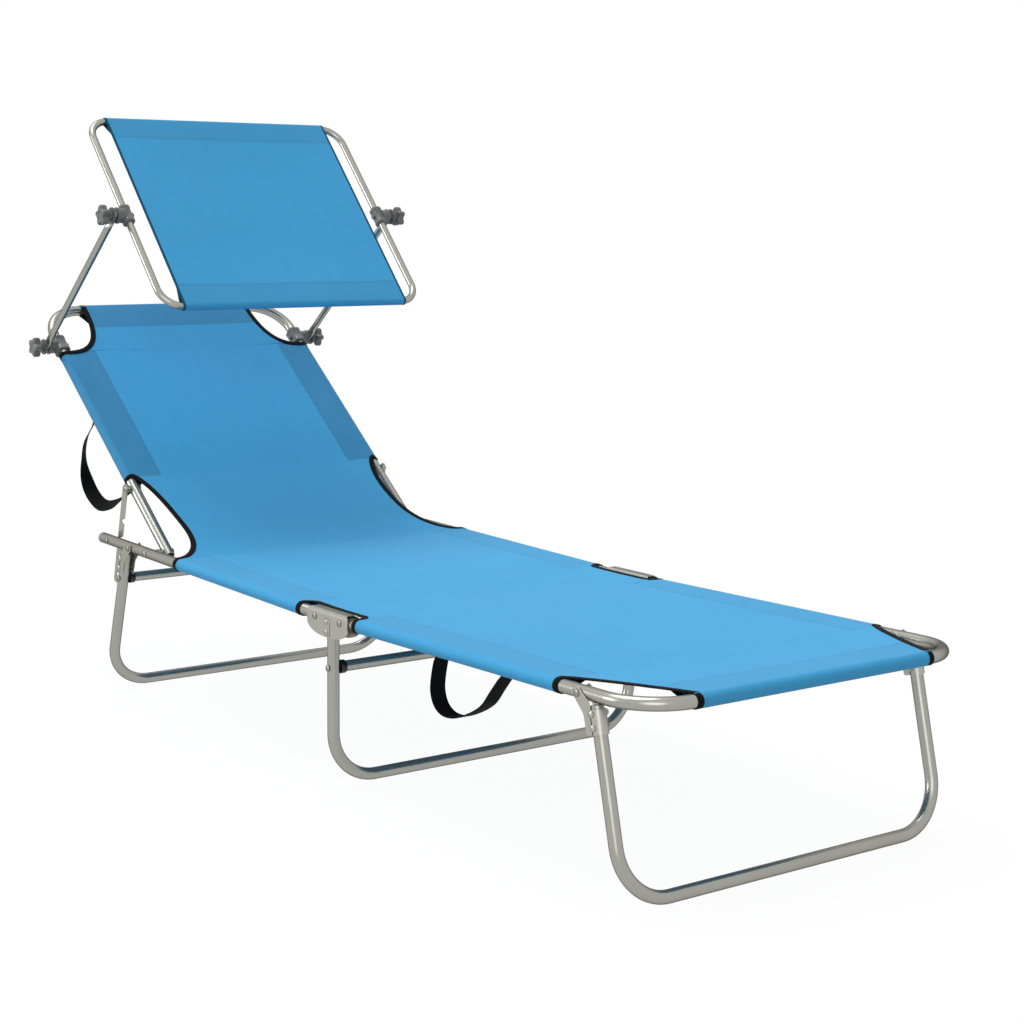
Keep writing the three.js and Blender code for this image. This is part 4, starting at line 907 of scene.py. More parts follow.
def fold_bracket(sign):
    """Saddle of folded sheet over both tubes, as one surface. Across, it runs up one cheek, round a bend,
    over the top and down the other cheek. Along, its ends draw in towards the top, and the cheeks' lower
    edge is a belly: flat under the leg, and rising as a rounded arc towards the ends."""
    half, corner, hang, side_hang = 54 * MM, 7 * MM, 26 * MM, 10 * MM
    low_top = tube_reach + 2.2 * MM
    bend = 6.2 * MM
    share = np.sin(np.linspace(-math.pi / 2, math.pi / 2, 49))
    down = np.linspace(1, 0, 9)
    angle = np.linspace(0, math.pi / 2, 8)[1:]

    def skin(reach, top, radius):
        shoulder = top - radius
        rise = np.concatenate([0 * down, radius * np.sin(angle)])
        side = np.concatenate([reach + 0 * down, reach - radius + radius * np.cos(angle)])
        drawn = corner * np.clip(rise / radius, 0, 1) ** 2
        along = share[:, None] * (half - drawn)
        outside = np.clip((np.abs(along) - tube_reach) / (half - tube_reach), 0, 1)
        bottom = -side_hang - (hang - side_hang) * (1 - outside**2) ** 0.6
        fall = np.concatenate([down, 0 * angle])
        up = shoulder + rise + fall * (bottom - shoulder)
        side = np.broadcast_to(side, along.shape)
        x = np.concatenate([side, -side[:, ::-1]], 1)
        both = [np.concatenate([values, values[:, ::-1]], 1) for values in (along, up)]
        return middle_section.place(sign * side_x + x, *both)

    shells = [bent_sheet(skin(plate_outer, low_top + sheet_thickness, bend),
                         skin(plate_inner, low_top, bend - sheet_thickness))]
    # Pressed channel over the leg, with the two rivets that hold it
    ridge_half, ridge_low, ridge_top, ridge_height = 7 * MM, -hang + 1.5 * MM, 2 * MM, 1.3 * MM
    channel = fillet([(-ridge_half, ridge_low), (ridge_half, ridge_low), (ridge_half, ridge_top),
                      (-ridge_half, ridge_top)], np.array([3, 3, 6, 6]) * MM)
    for face in (-1, 1):
        shells.append(plate_beside(
            channel, sign * side_x, face, plate_outer - 0.4 * MM, plate_outer + ridge_height,
            middle_section.place, 1.2 * MM))
    profile = rivet_profile(
        side_x - plate_outer - ridge_height, side_x + plate_outer + ridge_height, head=4 * MM)
    for drop in (3 * MM, 18 * MM):
        shells.append(turned(profile, middle_section.place(0, 0, -drop), (sign, 0, 0), 20))
    return joined(shells)


def leg_bracket(section, outward, sign, top):
    """Cranked bracket of folded sheet: two cheeks from a round boss at the pivot to the leg, a half-round
    web about the leg's own axis that joins them, and the two bolts that hold the leg."""
    half_width = tube_reach + fit_gap
    back = leg_pivot_offset
    front = leg_pivot_offset - half_width - 4 * MM
    bottom = top - 36 * MM
    boss = 9 * MM
    arc = np.linspace(math.pi, math.pi / 2 - 0.25, 10)
    corners = np.array([(back, top + 4 * MM), (back, bottom), (front, bottom), (front - MM, top - 9 * MM)])
    rounded = fillet(
        np.concatenate([[(0, boss)], corners, [(-boss, 0)]]), np.array([0.01, 5, 0.5, 2.5, 12, 0.01]) * MM)
    # The boss's own arc takes the place of the first and the last corner, of six points each
    outline = np.concatenate([boss * np.stack([np.cos(arc), np.sin(arc)], -1), rounded[6:-6]])
    outline = outline * [outward, 1]
    shells = [plate_beside(outline, sign * side_x, face, plate_inner, plate_outer, section.place)
              for face in (-1, 1)]
    # The web's cross-section: a half-round back concentric with the leg, and the same inside
    angle = np.linspace(-math.pi / 2, math.pi / 2, 17)

    def around(radius):
        depth = leg_pivot_offset + radius * np.cos(angle)
        return np.concatenate([[[-radius, leg_pivot_offset - 2 * MM]],
                               np.stack([radius * np.sin(angle), depth], -1),
                               [[radius, leg_pivot_offset - 2 * MM]]])

    profile = np.concatenate([around(plate_outer), around(plate_inner)[::-1]])
    heights = np.array([bottom, bottom + 0.4 * MM, top - 5.5 * MM, top - 5 * MM])
    rings = section.place(
        sign * side_x + profile[None, :, 0], outward * profile[None, :, 1], heights[:, None])
    shells.append(ring_shell(rings))

    inner_face, outer_face = side_x - plate_outer, side_x + plate_outer
    head_radius, thread_end = 4.6 * MM, 2 * MM
    profile = np.concatenate([
        [[1.2 * MM, inner_face - 5.2 * MM], [thread_end, inner_face - 4.8 * MM],
         [thread_end, inner_face - MM], [rivet_radius, inner_face], [rivet_radius, outer_face],
         [head_radius, outer_face]],
        dome(head_radius, outer_face + 0.5 * MM, 1.9 * MM)])
    for drop in (10 * MM, 27 * MM):
        place = about(section, outward * leg_pivot_offset, top - drop)
        shells.append(turned(profile, place(0, 0, 0), (sign, 0, 0), 20))
        shells.append(plate_beside(
            hexagon(4.4 * MM), 0, sign, inner_face - 3.6 * MM, inner_face - 0.1 * MM, place, 0.5 * MM))
    return joined(shells)


def prop_bar_outline():
    """Side view of a prop bar with its pivot at the origin, and the section that it lies on: a bar with
    half-round ends and four notches open to -Y, each a straight flank and a half-round seat. Its lean
    puts the second notch's seat at the catch pin."""
    notches, notch_pitch, notch_width, depth = 4, 33 * MM, 7 * MM, 6 * MM
    half, back, tail_length = 5.5 * MM, 10 * MM, 15 * MM
    pivot = backrest_section.place(0, prop_pivot_place, 0)[1:]
    catch = seat_section.place(0, catch_pin_place, 0)[1:]
    step = catch - pivot
    seat = depth - half
    lean = math.atan2(step[0], -step[1]) - math.asin(seat / np.hypot(*step))
    first = math.sqrt(float(step @ step) - seat**2) - notch_pitch
    arc = np.linspace(0, math.pi, 10)
    middle, reach = (back - half) / 2, (back + half) / 2
    parts = [np.stack([middle + reach * np.cos(arc), reach * np.sin(arc)], -1)]
    hook = np.linspace(math.pi / 2, -math.pi / 2, 8)
    for number in range(notches):
        level = -first - number * notch_pitch
        parts.append(np.array([[-half, level + notch_width], [-half + depth, level + notch_width / 2]]))
        parts.append(np.stack([-half + depth + notch_width / 2 * np.cos(hook),
                               level + notch_width / 2 * np.sin(hook)], -1)[1:])
        parts.append(np.array([[-half, level - notch_width / 2]]))
    end = first + (notches - 1) * notch_pitch + tail_length
    tail = np.linspace(math.pi, 2 * math.pi, 10)
    parts.append(np.stack([middle + reach * np.cos(tail), -end + reach + reach * np.sin(tail)], -1))
    return np.concatenate(parts), Section((0, *pivot), lean)


class LOUNGER_OT_brackets(bpy.types.Operator):
    """Build the folded-sheet brackets with their rivets, and the notched prop bars"""

    bl_idname = "lounger.brackets"
    bl_label = "Brackets and prop bars"

    def execute(self, context):
        outline, prop_section = prop_bar_outline()
        for side, sign in SIDES:
            add_piece(f"{side}_fold_saddle", fold_bracket(sign), "sheet_steel", "middle_legs",
                      f"fold_bracket_{side}")
            add_piece(f"{side}_rear_bracket", leg_bracket(rear_leg_section, 1, sign, rear_leg_top),
                      "sheet_steel", "rear_legs", f"rear_leg_bracket_{side}")
            add_piece(f"{side}_foot_bracket", leg_bracket(foot_leg_section, -1, sign, foot_leg_top),
                      "sheet_steel", "foot_legs", f"foot_leg_bracket_{side}")
            middle = sign * prop_plane
            bar = plate(outline, middle - prop_half, middle + prop_half, prop_section.place)
            add_piece(f"{side}_prop", bar, "sheet_steel", f"prop_{side}", f"prop_bar_{side}")
        return {"FINISHED"}


# Canopy frame, arms, clamps and knobs


def arm_shell(sign):
    """A round tube whose ends are pressed flat and rounded: each ring goes from a circle to a flat oval
    of the same perimeter, and narrows to the round eye at the very end."""
    radius = canopy_tube_radius
    eye = arm_eye_radius * (1 - np.cos(np.linspace(math.pi / 2, 0, 10)))
    near = np.concatenate([eye[1:] - arm_eye_radius, np.linspace(0, arm_flat_length, 5)[1:],
                           arm_flat_length + arm_taper * np.linspace(0, 1, 9)[1:]])
    near = np.sort(near)
    along = np.concatenate([near, arm_length - near[::-1]])
    depth = np.minimum(along + arm_eye_radius, arm_length + arm_eye_radius - along)
    from_end = np.minimum(along, arm_length - along)
    share = fade(arm_flat_length + arm_taper - from_end, arm_taper)
    angle = (np.arange(round_sides) + 0.5) * 2 * math.pi / round_sides
    straight = math.pi * (radius - arm_flat_half) / 2
    round_x, round_z = radius * np.cos(angle), radius * np.sin(angle)
    flat_x = arm_flat_half * np.cos(angle)
    flat_z = arm_flat_half * np.sin(angle) + straight * np.clip(np.sin(angle) * 1.6, -1, 1)
    x = round_x + (flat_x - round_x) * share[:, None]
    z = round_z + (flat_z - round_z) * share[:, None]
    limit = np.sqrt(np.maximum(1e-9, 1 - (1 - np.clip(depth / arm_eye_radius, 0.001, 1)) ** 2))
    tallest = np.abs(z).max(axis=1)
    z = z * np.minimum(1, np.maximum(0.05, limit * arm_eye_radius / tallest))[:, None]
    return ring_shell(arm_section.place(sign * arm_plane + x, along[:, None], z))


def toothed():
    """Outline of a disc with rounded teeth: radius - tooth * (1 - cos(teeth * a)) / 2."""
    teeth, steps = 15, 6
    angle = np.arange(teeth * steps) * 2 * math.pi / (teeth * steps)
    reach = disc_radius - disc_tooth * (0.5 - 0.5 * np.cos(teeth * angle))
    return np.stack([reach * np.cos(angle), reach * np.sin(angle)], -1)


def clamp_shell(section, along, tube_x, radius, sign):
    """Clamp on a tube: a block along it with raised ends, whose cross-section is a square with corners
    cut off at 1.16 times its half-width, a neck and a toothed boss towards the arm, and a nut behind."""
    length, neck_radius, boss_depth = 34 * MM, 12.6 * MM, 3.4 * MM
    reach = radius / math.cos(math.pi / 12) + fit_gap + clamp_wall
    boss_end = arm_plane - arm_flat_half - fit_gap
    angle = (np.arange(32) + 0.5) * 2 * math.pi / 32
    square = reach / np.maximum(np.abs(np.cos(angle)), np.abs(np.sin(angle)))
    soft = np.minimum(square, reach * 1.16)
    stations = np.array([-0.5, -0.47, -0.36, -0.33, 0.33, 0.36, 0.47, 0.5]) * length
    scales = np.array([0.94, 1, 1, 0.95, 0.95, 1, 1, 0.94])[:, None]
    block = ring_shell(section.place(
        sign * (tube_x + scales * (soft * np.cos(angle))), along + stations[:, None],
        scales * (soft * np.sin(angle))))
    neck = turned([[neck_radius, tube_x + 0.4 * reach], [neck_radius, boss_end - 3.2 * MM]],
                  section.place(0, along, 0), (sign, 0, 0), 36)
    place = about(section, along)
    boss = plate_beside(toothed(), 0, sign, boss_end - boss_depth, boss_end, place, 0.5 * MM)
    tail = tube_x - radius - clamp_wall
    nut = plate_beside(hexagon(5 * MM), 0, sign, tail - 3.6 * MM, tail + 2 * MM, place, 0.4 * MM)
    return joined([block, neck, boss, nut])


def knob_shell(section, along, sign):
    """Star knob: five lobes of radius r * (w + (1 - w) * (1 + cos(5a)) / 2), rounded over at both rims
    and dished in the middle, on a round hub and a stud."""
    knob_radius, waist, lobe = 18 * MM, 0.66, 0.34
    depth, hub_length, hub_radius, stud_radius = 13 * MM, 7 * MM, 9 * MM, 3 * MM
    hub_start = arm_plane + arm_flat_half + disc_thickness + 2 * fit_gap
    star_start = hub_start + hub_length
    angle = np.arange(100) * 2 * math.pi / 100
    lobes = knob_radius * (waist + lobe * (0.5 + 0.5 * np.cos(5 * angle)))
    star = lobes[:, None] * np.stack([np.cos(angle), np.sin(angle)], -1)
    places = np.array([0, 0.04, 0.12, 0.25, 0.75, 0.88, 0.96, 1.0, 1.0, 0.9, 0.88])
    scales = np.array([0.84, 0.92, 0.97, 1.0, 1.0, 0.97, 0.92, 0.84, 0.62, 0.5, 0.1])[:, None]
    rings = about(section, along)(
        sign * (star_start + places * depth)[:, None], scales * star[:, 0], scales * star[:, 1])
    centre, axis = section.place(0, along, 0), (sign, 0, 0)
    hub = turned([[hub_radius, hub_start], [hub_radius, star_start + MM]], centre, axis, 32)
    stud = turned([[stud_radius, arm_plane - 6 * MM], [stud_radius, hub_start + MM]], centre, axis, 16)
    return joined([ring_shell(rings), hub, stud])


class LOUNGER_OT_canopy_frame(bpy.types.Operator):
    """Build the canopy's tube ring, its two arms, and the clamps, discs and star knobs"""

    bl_idname = "lounger.canopy_frame"
    bl_label = "Canopy frame and fittings"

    def execute(self, context):
        seam = 0.25 * MM
        corners = [(seam, canopy_bottom_place), (canopy_half, canopy_bottom_place),
                   (canopy_half, -canopy_top_place), (-canopy_half, -canopy_top_place),
                   (-canopy_half, canopy_bottom_place), (-seam, canopy_bottom_place)]
        shell = flat_tube(canopy_section, corners, canopy_tube_radius, MM, canopy_corner_radius)
        add_piece("canopy_tube", shell, "steel_tube", "canopy", "canopy_frame")
        disc_low = arm_plane + arm_flat_half + fit_gap
        disc_high = disc_low + disc_thickness
        half_groove, rim, core_radius = 0.25 * MM, 0.5 * MM, 11.5 * MM
        for side, sign in SIDES:
            add_piece(f"{side}_canopy_arm", arm_shell(sign), "steel_tube", "canopy_arms",
                      f"canopy_arm_{side}")
            for level, along, clamp_body, clamp_section, clamp_along, tube_x, radius in (
                ("lower", 0, "backrest", backrest_section, arm_pivot_place, backrest_half, tube_radius),
                ("upper", arm_length, "canopy", canopy_section, 0, canopy_half, canopy_tube_radius),
            ):
                low, high = sorted((sign * disc_low, sign * disc_high))
                groove, place = (low + high) / 2, about(arm_section, along)
                core = turned([[core_radius, disc_low + rim], [core_radius, disc_low + 3.5 * MM]],
                              arm_section.place(0, along, 0), (sign, 0, 0), 32)
                disc = joined([plate(toothed(), low, groove - half_groove, place, rim),
                               plate(toothed(), groove + half_groove, high, place, rim), core])
                add_piece(f"{side}_{level}_toothed_disc", disc, "grey_plastic", "canopy_arms",
                          f"{level}_disc_{side}")
                clamp = clamp_shell(clamp_section, clamp_along, tube_x, radius, sign)
                add_piece(f"{side}_{level}_tube_clamp", clamp, "grey_plastic", clamp_body,
                          f"{level}_clamp_{side}")
                knob = knob_shell(clamp_section, clamp_along, sign)
                add_piece(f"{side}_{level}_star_knob", knob, "grey_plastic", f"knob_{level}_{side}",
                          f"{level}_knob_{side}")
        return {"FINISHED"}


# Cloth


def loop_profile(level, hem, sides=15):
    """Side view of a sleeve from the top of its tube, outwards and round it, and back along a straight
    lower layer to the hem, where both layers lie together for 9 mm. Returns (out, up), the outward
    normals, the lengths from the top and the lengths from the cut end."""
    doubled, layer = 9 * MM, 1.0 * MM
    end = np.array([-(hem - doubled), level - layer])
    reach = np.hypot(*end)
    last = math.atan2(end[1], end[0]) + math.acos(level / reach) - 2 * math.pi
    angle = np.linspace(math.pi / 2, last, sides + 1)[1:]
    circle = np.stack([np.cos(angle), np.sin(angle)], -1)
    share = np.linspace(0, 1, 9)[1:, None]
    straight = circle[-1] * level * (1 - share) + end * share
    flat = np.array([[-hem + doubled / 2, level - layer], [-hem, level - layer]])
    points = np.concatenate([circle * level, straight, flat])
    normals = np.concatenate([circle, np.repeat(circle[-1:], len(share), 0), np.tile([[0.0, -1.0]], (2, 1))])
    steps = np.linalg.norm(np.diff(np.concatenate([[[0, level]], points]), axis=0), axis=1)
    lengths = np.cumsum(steps)
    return points, normals, lengths, lengths[-1] - lengths


class Rows:
    """Rows of cloth along the lounger in side view: points at the cloth's level, normals, and for each
    row the half-width of the flat part, the half-width of the tubes that its side sleeves wrap, whether
    it has sleeves, its distance to a cross hem, and its share of the sag."""

    def __init__(self):
        self.parts = []

    def add(self, points, normals, edge, tube, sleeve, hem=1.0, sag=1.0):
        """Rows through points (y, z) with their normals."""
        columns = [np.broadcast_to(np.asarray(value, float), (len(points),))
                   for value in (edge, tube, sleeve, hem, sag)]
        self.parts.append(np.concatenate([points, normals, np.stack(columns, -1)], axis=1))

    def lay(self, section, along, up, normal, *values):
        """Rows through places (along, up) of a section, with normals given in it."""
        points = section.place(0, along, up)[:, 1:]
        self.add(points, section.direction(0, normal[:, 0], normal[:, 1])[:, 1:], *values)

    def straight(self, section, along, level, edge, tube, sleeve, hem=1.0, sag=1.0):
        """Rows over a flat stretch of a section."""
        normal = np.tile([[0.0, 1.0]], (len(along), 1))
        self.lay(section, along, level, normal, edge, tube, sleeve, hem, sag)

    def roll(self, section, centre, way, level, edge, depth, reach):
        """Rows round a cross tube and back to the hem; the way is the side that the loop goes out on. The
        lower layer sags with the upper one, which starts to sag over the reach."""
        points, normals, _, from_end = loop_profile(level, depth)
        along = centre + way * points[:, 0]
        normal = normals * [way, 1]
        hem = -np.minimum(from_end, deepest_hem)
        sag = -fade(np.maximum(0, -points[:, 0]), reach)
        table = np.stack([along, points[:, 1], normal[:, 0], normal[:, 1], hem, sag])
        along, up, *ways, hem, sag = table[:, ::-1] if not self.parts else table
        self.lay(section, along, up, np.stack(ways, -1), edge, 0, 0, hem, sag)

    def table(self):
        """All rows as one array."""
        return np.concatenate(self.parts)

    def soften(self, places, reach=22 * MM):
        """Round the slight creases at the given rows' places: near them, each point and normal becomes
        the weighted mean of the line within the reach."""
        table = self.table()
        length = np.concatenate([[0], np.cumsum(np.linalg.norm(np.diff(table[:, :2], axis=0), axis=1))])
        offsets = np.linspace(-reach, reach, 15)
        weights = 1 - np.abs(offsets) / (reach * 1.1)
        weights /= weights.sum()
        mean = sum(
            weight * np.stack([np.interp(length + offset, length, values) for values in table[:, :4].T], -1)
            for weight, offset in zip(weights, offsets))
        for place in places:
            near = np.abs(length - length[place]) < 2 * reach
            table[near, :4] = mean[near]
        table[:, 2:4] = unit(table[:, 2:4])
        self.parts = [table]


def gathers(length):
    """Small irregular waves along a seam: a sum of sines of unrelated lengths, from -1 to 1."""
    waves = ((17.3, 0.0, 0.5), (11.9, 1.3, 0.3), (29.0, 2.1, 0.35), (7.7, 0.4, 0.15))
    return sum(share * np.sin(2 * math.pi * length / (pitch * MM) + phase) for pitch, phase, share in waves)


class Cloth:
    """A sheet of cloth as a grid: rows along the lounger, and columns across it, made of the left
    sleeve's loop, the flat part and the right sleeve's loop. Each point is the row's point moved along
    the row's normal, and across by the column. The flat part sags by 1 - share squared, where the share
    is the way from the middle to its edge, and gathers stand along its seams."""

    def __init__(self, rows, level, sag, hem_shade, sleeves=True):
        table = rows.table()
        points, normals = table[:, 0:2], table[:, 2:4]
        edge, tube, sleeve, row_hem, sagging = table[:, 4:].T
        steps = np.linalg.norm(np.diff(points, axis=0), axis=1)
        self.along = np.concatenate([[0], np.cumsum(steps)])
        share = np.linspace(-1, 1, flat_columns + 1)
        count = len(points)

        across = edge[:, None] * share
        height = np.full(across.shape, level) - sag * sagging[:, None] * (1 - share**2)
        uv_across = across
        # Side hems lie along the sleeves; the row value holds the cross hems
        starts = np.flatnonzero(np.diff(np.concatenate([[0], sleeve, [0]])))
        reach = np.full(count, 1.0)
        for first, stop in zip(starts[::2], starts[1::2]):
            outside = np.maximum(self.along[first] - self.along, self.along - self.along[stop - 1])
            reach = np.minimum(reach, outside)
        nearest_tube = np.where(tube > 0, tube, np.max(tube))
        box = np.maximum((nearest_tube[:, None] - sleeve_hem) - np.abs(across), reach[:, None])
        hem = np.minimum(box, row_hem[:, None]) if sleeves else np.repeat(row_hem[:, None], len(share), 1)
        seam = np.exp(-((np.abs(across) - (nearest_tube[:, None] - sleeve_hem)) / (9 * MM)) ** 2)
        seam = seam * (sleeve[:, None] > 0)
        cross_seam = np.exp(-(np.clip(row_hem[:, None], -1, 1) / (8 * MM)) ** 2)
        wave = seam * gathers(self.along)[:, None] + cross_seam * gathers(across)
        height = height + sizes().pucker_height * wave

        if sleeves:
            loop, _, lengths, from_end = loop_profile(level, sleeve_hem)
            out = tube[:, None] + loop[:, 0]
            ripple = np.exp(-(from_end / (14 * MM)) ** 2) * (from_end > 0)
            up = loop[:, 1] + 0.6 * sizes().pucker_height * ripple * gathers(self.along + 5 * MM)[:, None]
            inside = np.clip(out / np.where(tube > 0, tube, 1)[:, None], 0, 1)
            up = up - sag * sagging[:, None] * (1 - inside**2)
            loop_hem = np.repeat(-np.minimum(from_end, deepest_hem)[None], count, 0)
            self.loop = len(loop)
            across = np.concatenate([-out[:, ::-1], across, out], 1)
            height = np.concatenate([up[:, ::-1], height, up], 1)
            uv_loop = tube[:, None] + lengths
            uv_across = np.concatenate([-uv_loop[:, ::-1], uv_across, uv_loop], 1)
            hem = np.concatenate([loop_hem[:, ::-1], hem, loop_hem], 1)
        else:
            self.loop = 0

        place = points[:, None] + (height - level)[..., None] * normals[:, None]
        self.points = np.concatenate([across[..., None], place], -1)
        self.uv = np.stack([uv_across, np.broadcast_to(self.along[:, None], across.shape)], -1)
        self.hem = hem
        keep = np.ones((count - 1, across.shape[1] - 1), bool)
        both = (sleeve[:-1] > 0) & (sleeve[1:] > 0)
        if self.loop:
            keep[:, : self.loop] = both[:, None]
            keep[:, -self.loop:] = both[:, None]
        self.keep = keep
        self.sleeve = sleeve
        # Strength of the painted shade on the doubled hems, for each point
        self.hem_shade = np.repeat(np.broadcast_to(hem_shade, (count,))[:, None], across.shape[1], 1)

    def shell(self):
        """The used cells as a sheet of the cloth's thickness: its skin moved half of it both ways along
        the normals, which are the sums of the neighbouring cells' own, and joined round every free edge."""
        rows, columns = self.hem.shape
        used, quads = np.unique(grid_quads(rows, columns, keep=self.keep), return_inverse=True)
        self.used = np.concatenate([used, used])
        points, quads, count = self.points.reshape(-1, 3)[used], quads.reshape(-1, 4), len(used)
        middle = (rows // 2) * columns + columns // 2
        a, b, d = (self.points.reshape(-1, 3)[i] for i in (middle, middle + 1, middle + columns))
        if np.cross(b - a, d - a)[2] < 0:
            quads = quads[:, ::-1]
        corners = points[quads]
        facing = np.cross(corners[:, 2] - corners[:, 0], corners[:, 3] - corners[:, 1])
        normals = np.zeros_like(points)
        for corner in range(4):
            np.add.at(normals, quads[:, corner], facing)
        shift = unit(normals) * cloth_thickness / 2
        edges = np.stack([quads, np.roll(quads, -1, 1)], -1).reshape(-1, 2)
        free = edges[~np.isin(edges[:, 0] * count + edges[:, 1], edges[:, 1] * count + edges[:, 0])]
        rim = np.concatenate([free[:, ::-1], free + count], 1)
        faces = np.concatenate([quads, quads[:, ::-1] + count, rim])
        return Shell(np.concatenate([points + shift, points - shift]), faces, (), {
            "hem": self.hem.reshape(-1)[self.used], "hem_shade": self.hem_shade.reshape(-1)[self.used]})

    def area(self):
        """Flat area, as the sum of the cells between neighbouring points."""
        grid = self.points
        one = np.cross(grid[:-1, 1:] - grid[:-1, :-1], grid[1:, :-1] - grid[:-1, :-1])
        two = np.cross(grid[1:, :-1] - grid[1:, 1:], grid[:-1, 1:] - grid[1:, 1:])
        cells = (np.linalg.norm(one, axis=-1) + np.linalg.norm(two, axis=-1)) / 2
        return float(cells[self.keep].sum())

    def flat_size(self):
        """Width and length of the smallest rectangle that the cloth was cut from."""
        both = np.concatenate([self.uv[:-1, :-1][self.keep], self.uv[1:, 1:][self.keep]])
        width, length = both.max(0) - both.min(0)
        return float(width), float(length)

    def make(self, name):
        """The cloth as a piece, with its own lengths as its UV map."""
        shell = self.shell()
        return make_piece(name, shell, 60, self.uv.reshape(-1, 2)[self.used])

    def edge_points(self, side, first, last, rings):
        """Grid indices of a free edge on one side: down the flat part's edge from the first row to the
        last. Rings tell whether it starts, and whether it ends, round the tube from or to the hem."""
        columns = self.hem.shape[1]
        sewn = 2
        if side > 0:
            flat_edge = columns - 1 - self.loop
            loop = np.arange(columns - 1 - sewn, flat_edge, -1)
        else:
            flat_edge = self.loop
            loop = np.arange(sewn, flat_edge)
        rows = np.arange(first, last + 1)
        path = [np.stack([rows, np.full(len(rows), flat_edge)], -1)]
        if rings[0]:
            path.insert(0, np.stack([np.full(len(loop), first), loop], -1))
        if rings[1]:
            path.append(np.stack([np.full(len(loop), last), loop[::-1]], -1))
        return np.concatenate(path)

    def normals(self):
        """Outward normals of the grid, by central differences."""
        down = np.gradient(self.points, axis=0)
        right = np.gradient(self.points, axis=1)
        normal = unit(np.cross(right, down) + 1e-15)
        rows, columns = self.hem.shape
        return normal * (1 if normal[rows // 2, columns // 2, 2] > 0 else -1)


def bind_edge(cloth, path, inward, name, width, low, high):
    """Binding tape folded over a free edge: a soft-cornered section carried along the edge's points. It
    spans from 1 mm outside the edge to the tape's width inside it, on both faces of the cloth. Inward
    is the direction from the edge into the cloth at each point."""
    points = cloth.points[path[:, 0], path[:, 1]]
    normal = cloth.normals()[path[:, 0], path[:, 1]]
    gap = np.linalg.norm(np.diff(points, axis=0), axis=1)
    keep = np.concatenate([[True], gap > 0.15 * MM])
    points, normal, inward = points[keep], normal[keep], inward[keep]
    length = np.concatenate([[0], np.cumsum(np.linalg.norm(np.diff(points, axis=0), axis=1))])
    count = max(8, int(length[-1] / (2.2 * MM)))
    even = np.linspace(0, length[-1], count)

    def resample(values):
        return np.stack([np.interp(even, length, values[:, i]) for i in range(3)], -1)

    points, normal, inward = resample(points), unit(resample(normal)), resample(inward)
    kernel = np.array([1, 2, 3, 2, 1]) / 9

    def soften(values):
        padded = np.concatenate([values[:1]] * 2 + [values] + [values[-1:]] * 2)
        return np.stack([np.convolve(padded[:, i], kernel, "valid") for i in range(3)], -1)

    tangent = unit(np.gradient(soften(points), axis=0))
    across = np.cross(normal, tangent)
    across = across * np.sign((across * inward).sum(1, keepdims=True) + 1e-12)
    across = unit(soften(unit(across)))
    out = -MM
    section = np.array([
        [out, low + 0.4 * MM], [out + 0.4 * MM, low], [width - 0.3 * MM, low], [width, low + 0.2 * MM],
        [width, high - 0.35 * MM], [width - 0.4 * MM, high], [out + 0.6 * MM, high], [out, high - 0.5 * MM]])
    rings = points[:, None] + section[:, :1] * across[:, None] + section[:, 1:] * normal[:, None]
    return make_piece(name, ring_shell(rings, data={"length": np.repeat(even, len(section))}), 50)


def edge_tape(cloth, side, name, first, last, rings=(False, False), width=None, low=-0.62 * MM,
              high=1.05 * MM):
    """Bind one free edge of a cloth, from its low to its high face. Inward at rings runs along the rows,
    and at flat edges across them."""
    path = cloth.edge_points(side, first, last, rings)
    grid = cloth.points
    row, column = path.T
    in_loop = (column < cloth.loop) | (column >= cloth.hem.shape[1] - cloth.loop)
    at_first = in_loop & (row == first) & rings[0]
    at_last = in_loop & (row == last) & rings[1]
    beside = np.where(at_first | at_last, column, column - side)
    inward = grid[row + at_last - at_first, beside] - grid[row, column]
    return bind_edge(cloth, path, unit(inward), name, width or sizes().binding_width, low, high)


def clustered(count):
    """Shares from 0 to 1 that crowd towards both ends, by a cosine."""
    return 0.5 - 0.5 * np.cos(np.linspace(0, math.pi, count + 1))


def notch_rows(stop):
    """Places and half-widths of the notch at the fold: the cut's line, and then a quarter ellipse out to
    the tube, reached at the stop."""
    angle = np.linspace(0, math.pi / 2, 15)
    centre = stop - fold_cut_radius
    lead = np.arange(fold_piece_end, centre - 0.5 * MM, row_step)
    along = np.concatenate([lead, centre + fold_cut_radius * np.sin(angle)])
    edge = side_x - (side_x - fold_cut_x) * np.cos(angle)
    return along, np.concatenate([np.full(len(lead), fold_cut_x), edge])


def hinge_path():
    """The stretch from the seat's sleeves to the backrest's: a quadratic curve whose middle lies halfway
    between the taut chord and the corner of the two planes. Its half-width follows a superellipse from
    each tube in to the cut's middle."""
    start = seat_section.place(0, seat_sleeve_end, cloth_level)[1:]
    end = backrest_section.place(0, back_sleeve_start, cloth_level)[1:]
    half_turn = (backrest_section.slope - seat_section.slope) / 2
    corner = seat_section.place(0, backrest_pivot_place - cloth_level * math.tan(half_turn), cloth_level)[1:]
    control = ((start + end) / 2 + corner) / 2
    t = clustered(76)[:, None]
    points = (1 - t) ** 2 * start + 2 * t * (1 - t) * control + t**2 * end
    slope = unit(2 * (1 - t) * (control - start) + 2 * t * (end - control))
    normals = np.stack([-slope[:, 1], slope[:, 0]], -1)
    steps = np.linalg.norm(np.diff(points, axis=0), axis=1)
    share = np.concatenate([[0], np.cumsum(steps)]) / steps.sum()
    seat_part = np.clip(1 - 2 * share, 0, 1)
    back_part = np.clip(2 * share - 1, 0, 1)
    edge = np.where(
        share < 0.5,
        side_x - (side_x - pivot_cut_x) * (1 - seat_part**2.6) ** 0.7,
        backrest_half - (backrest_half - pivot_cut_x) * (1 - back_part**2.4) ** 0.7)
    return points, normals, edge


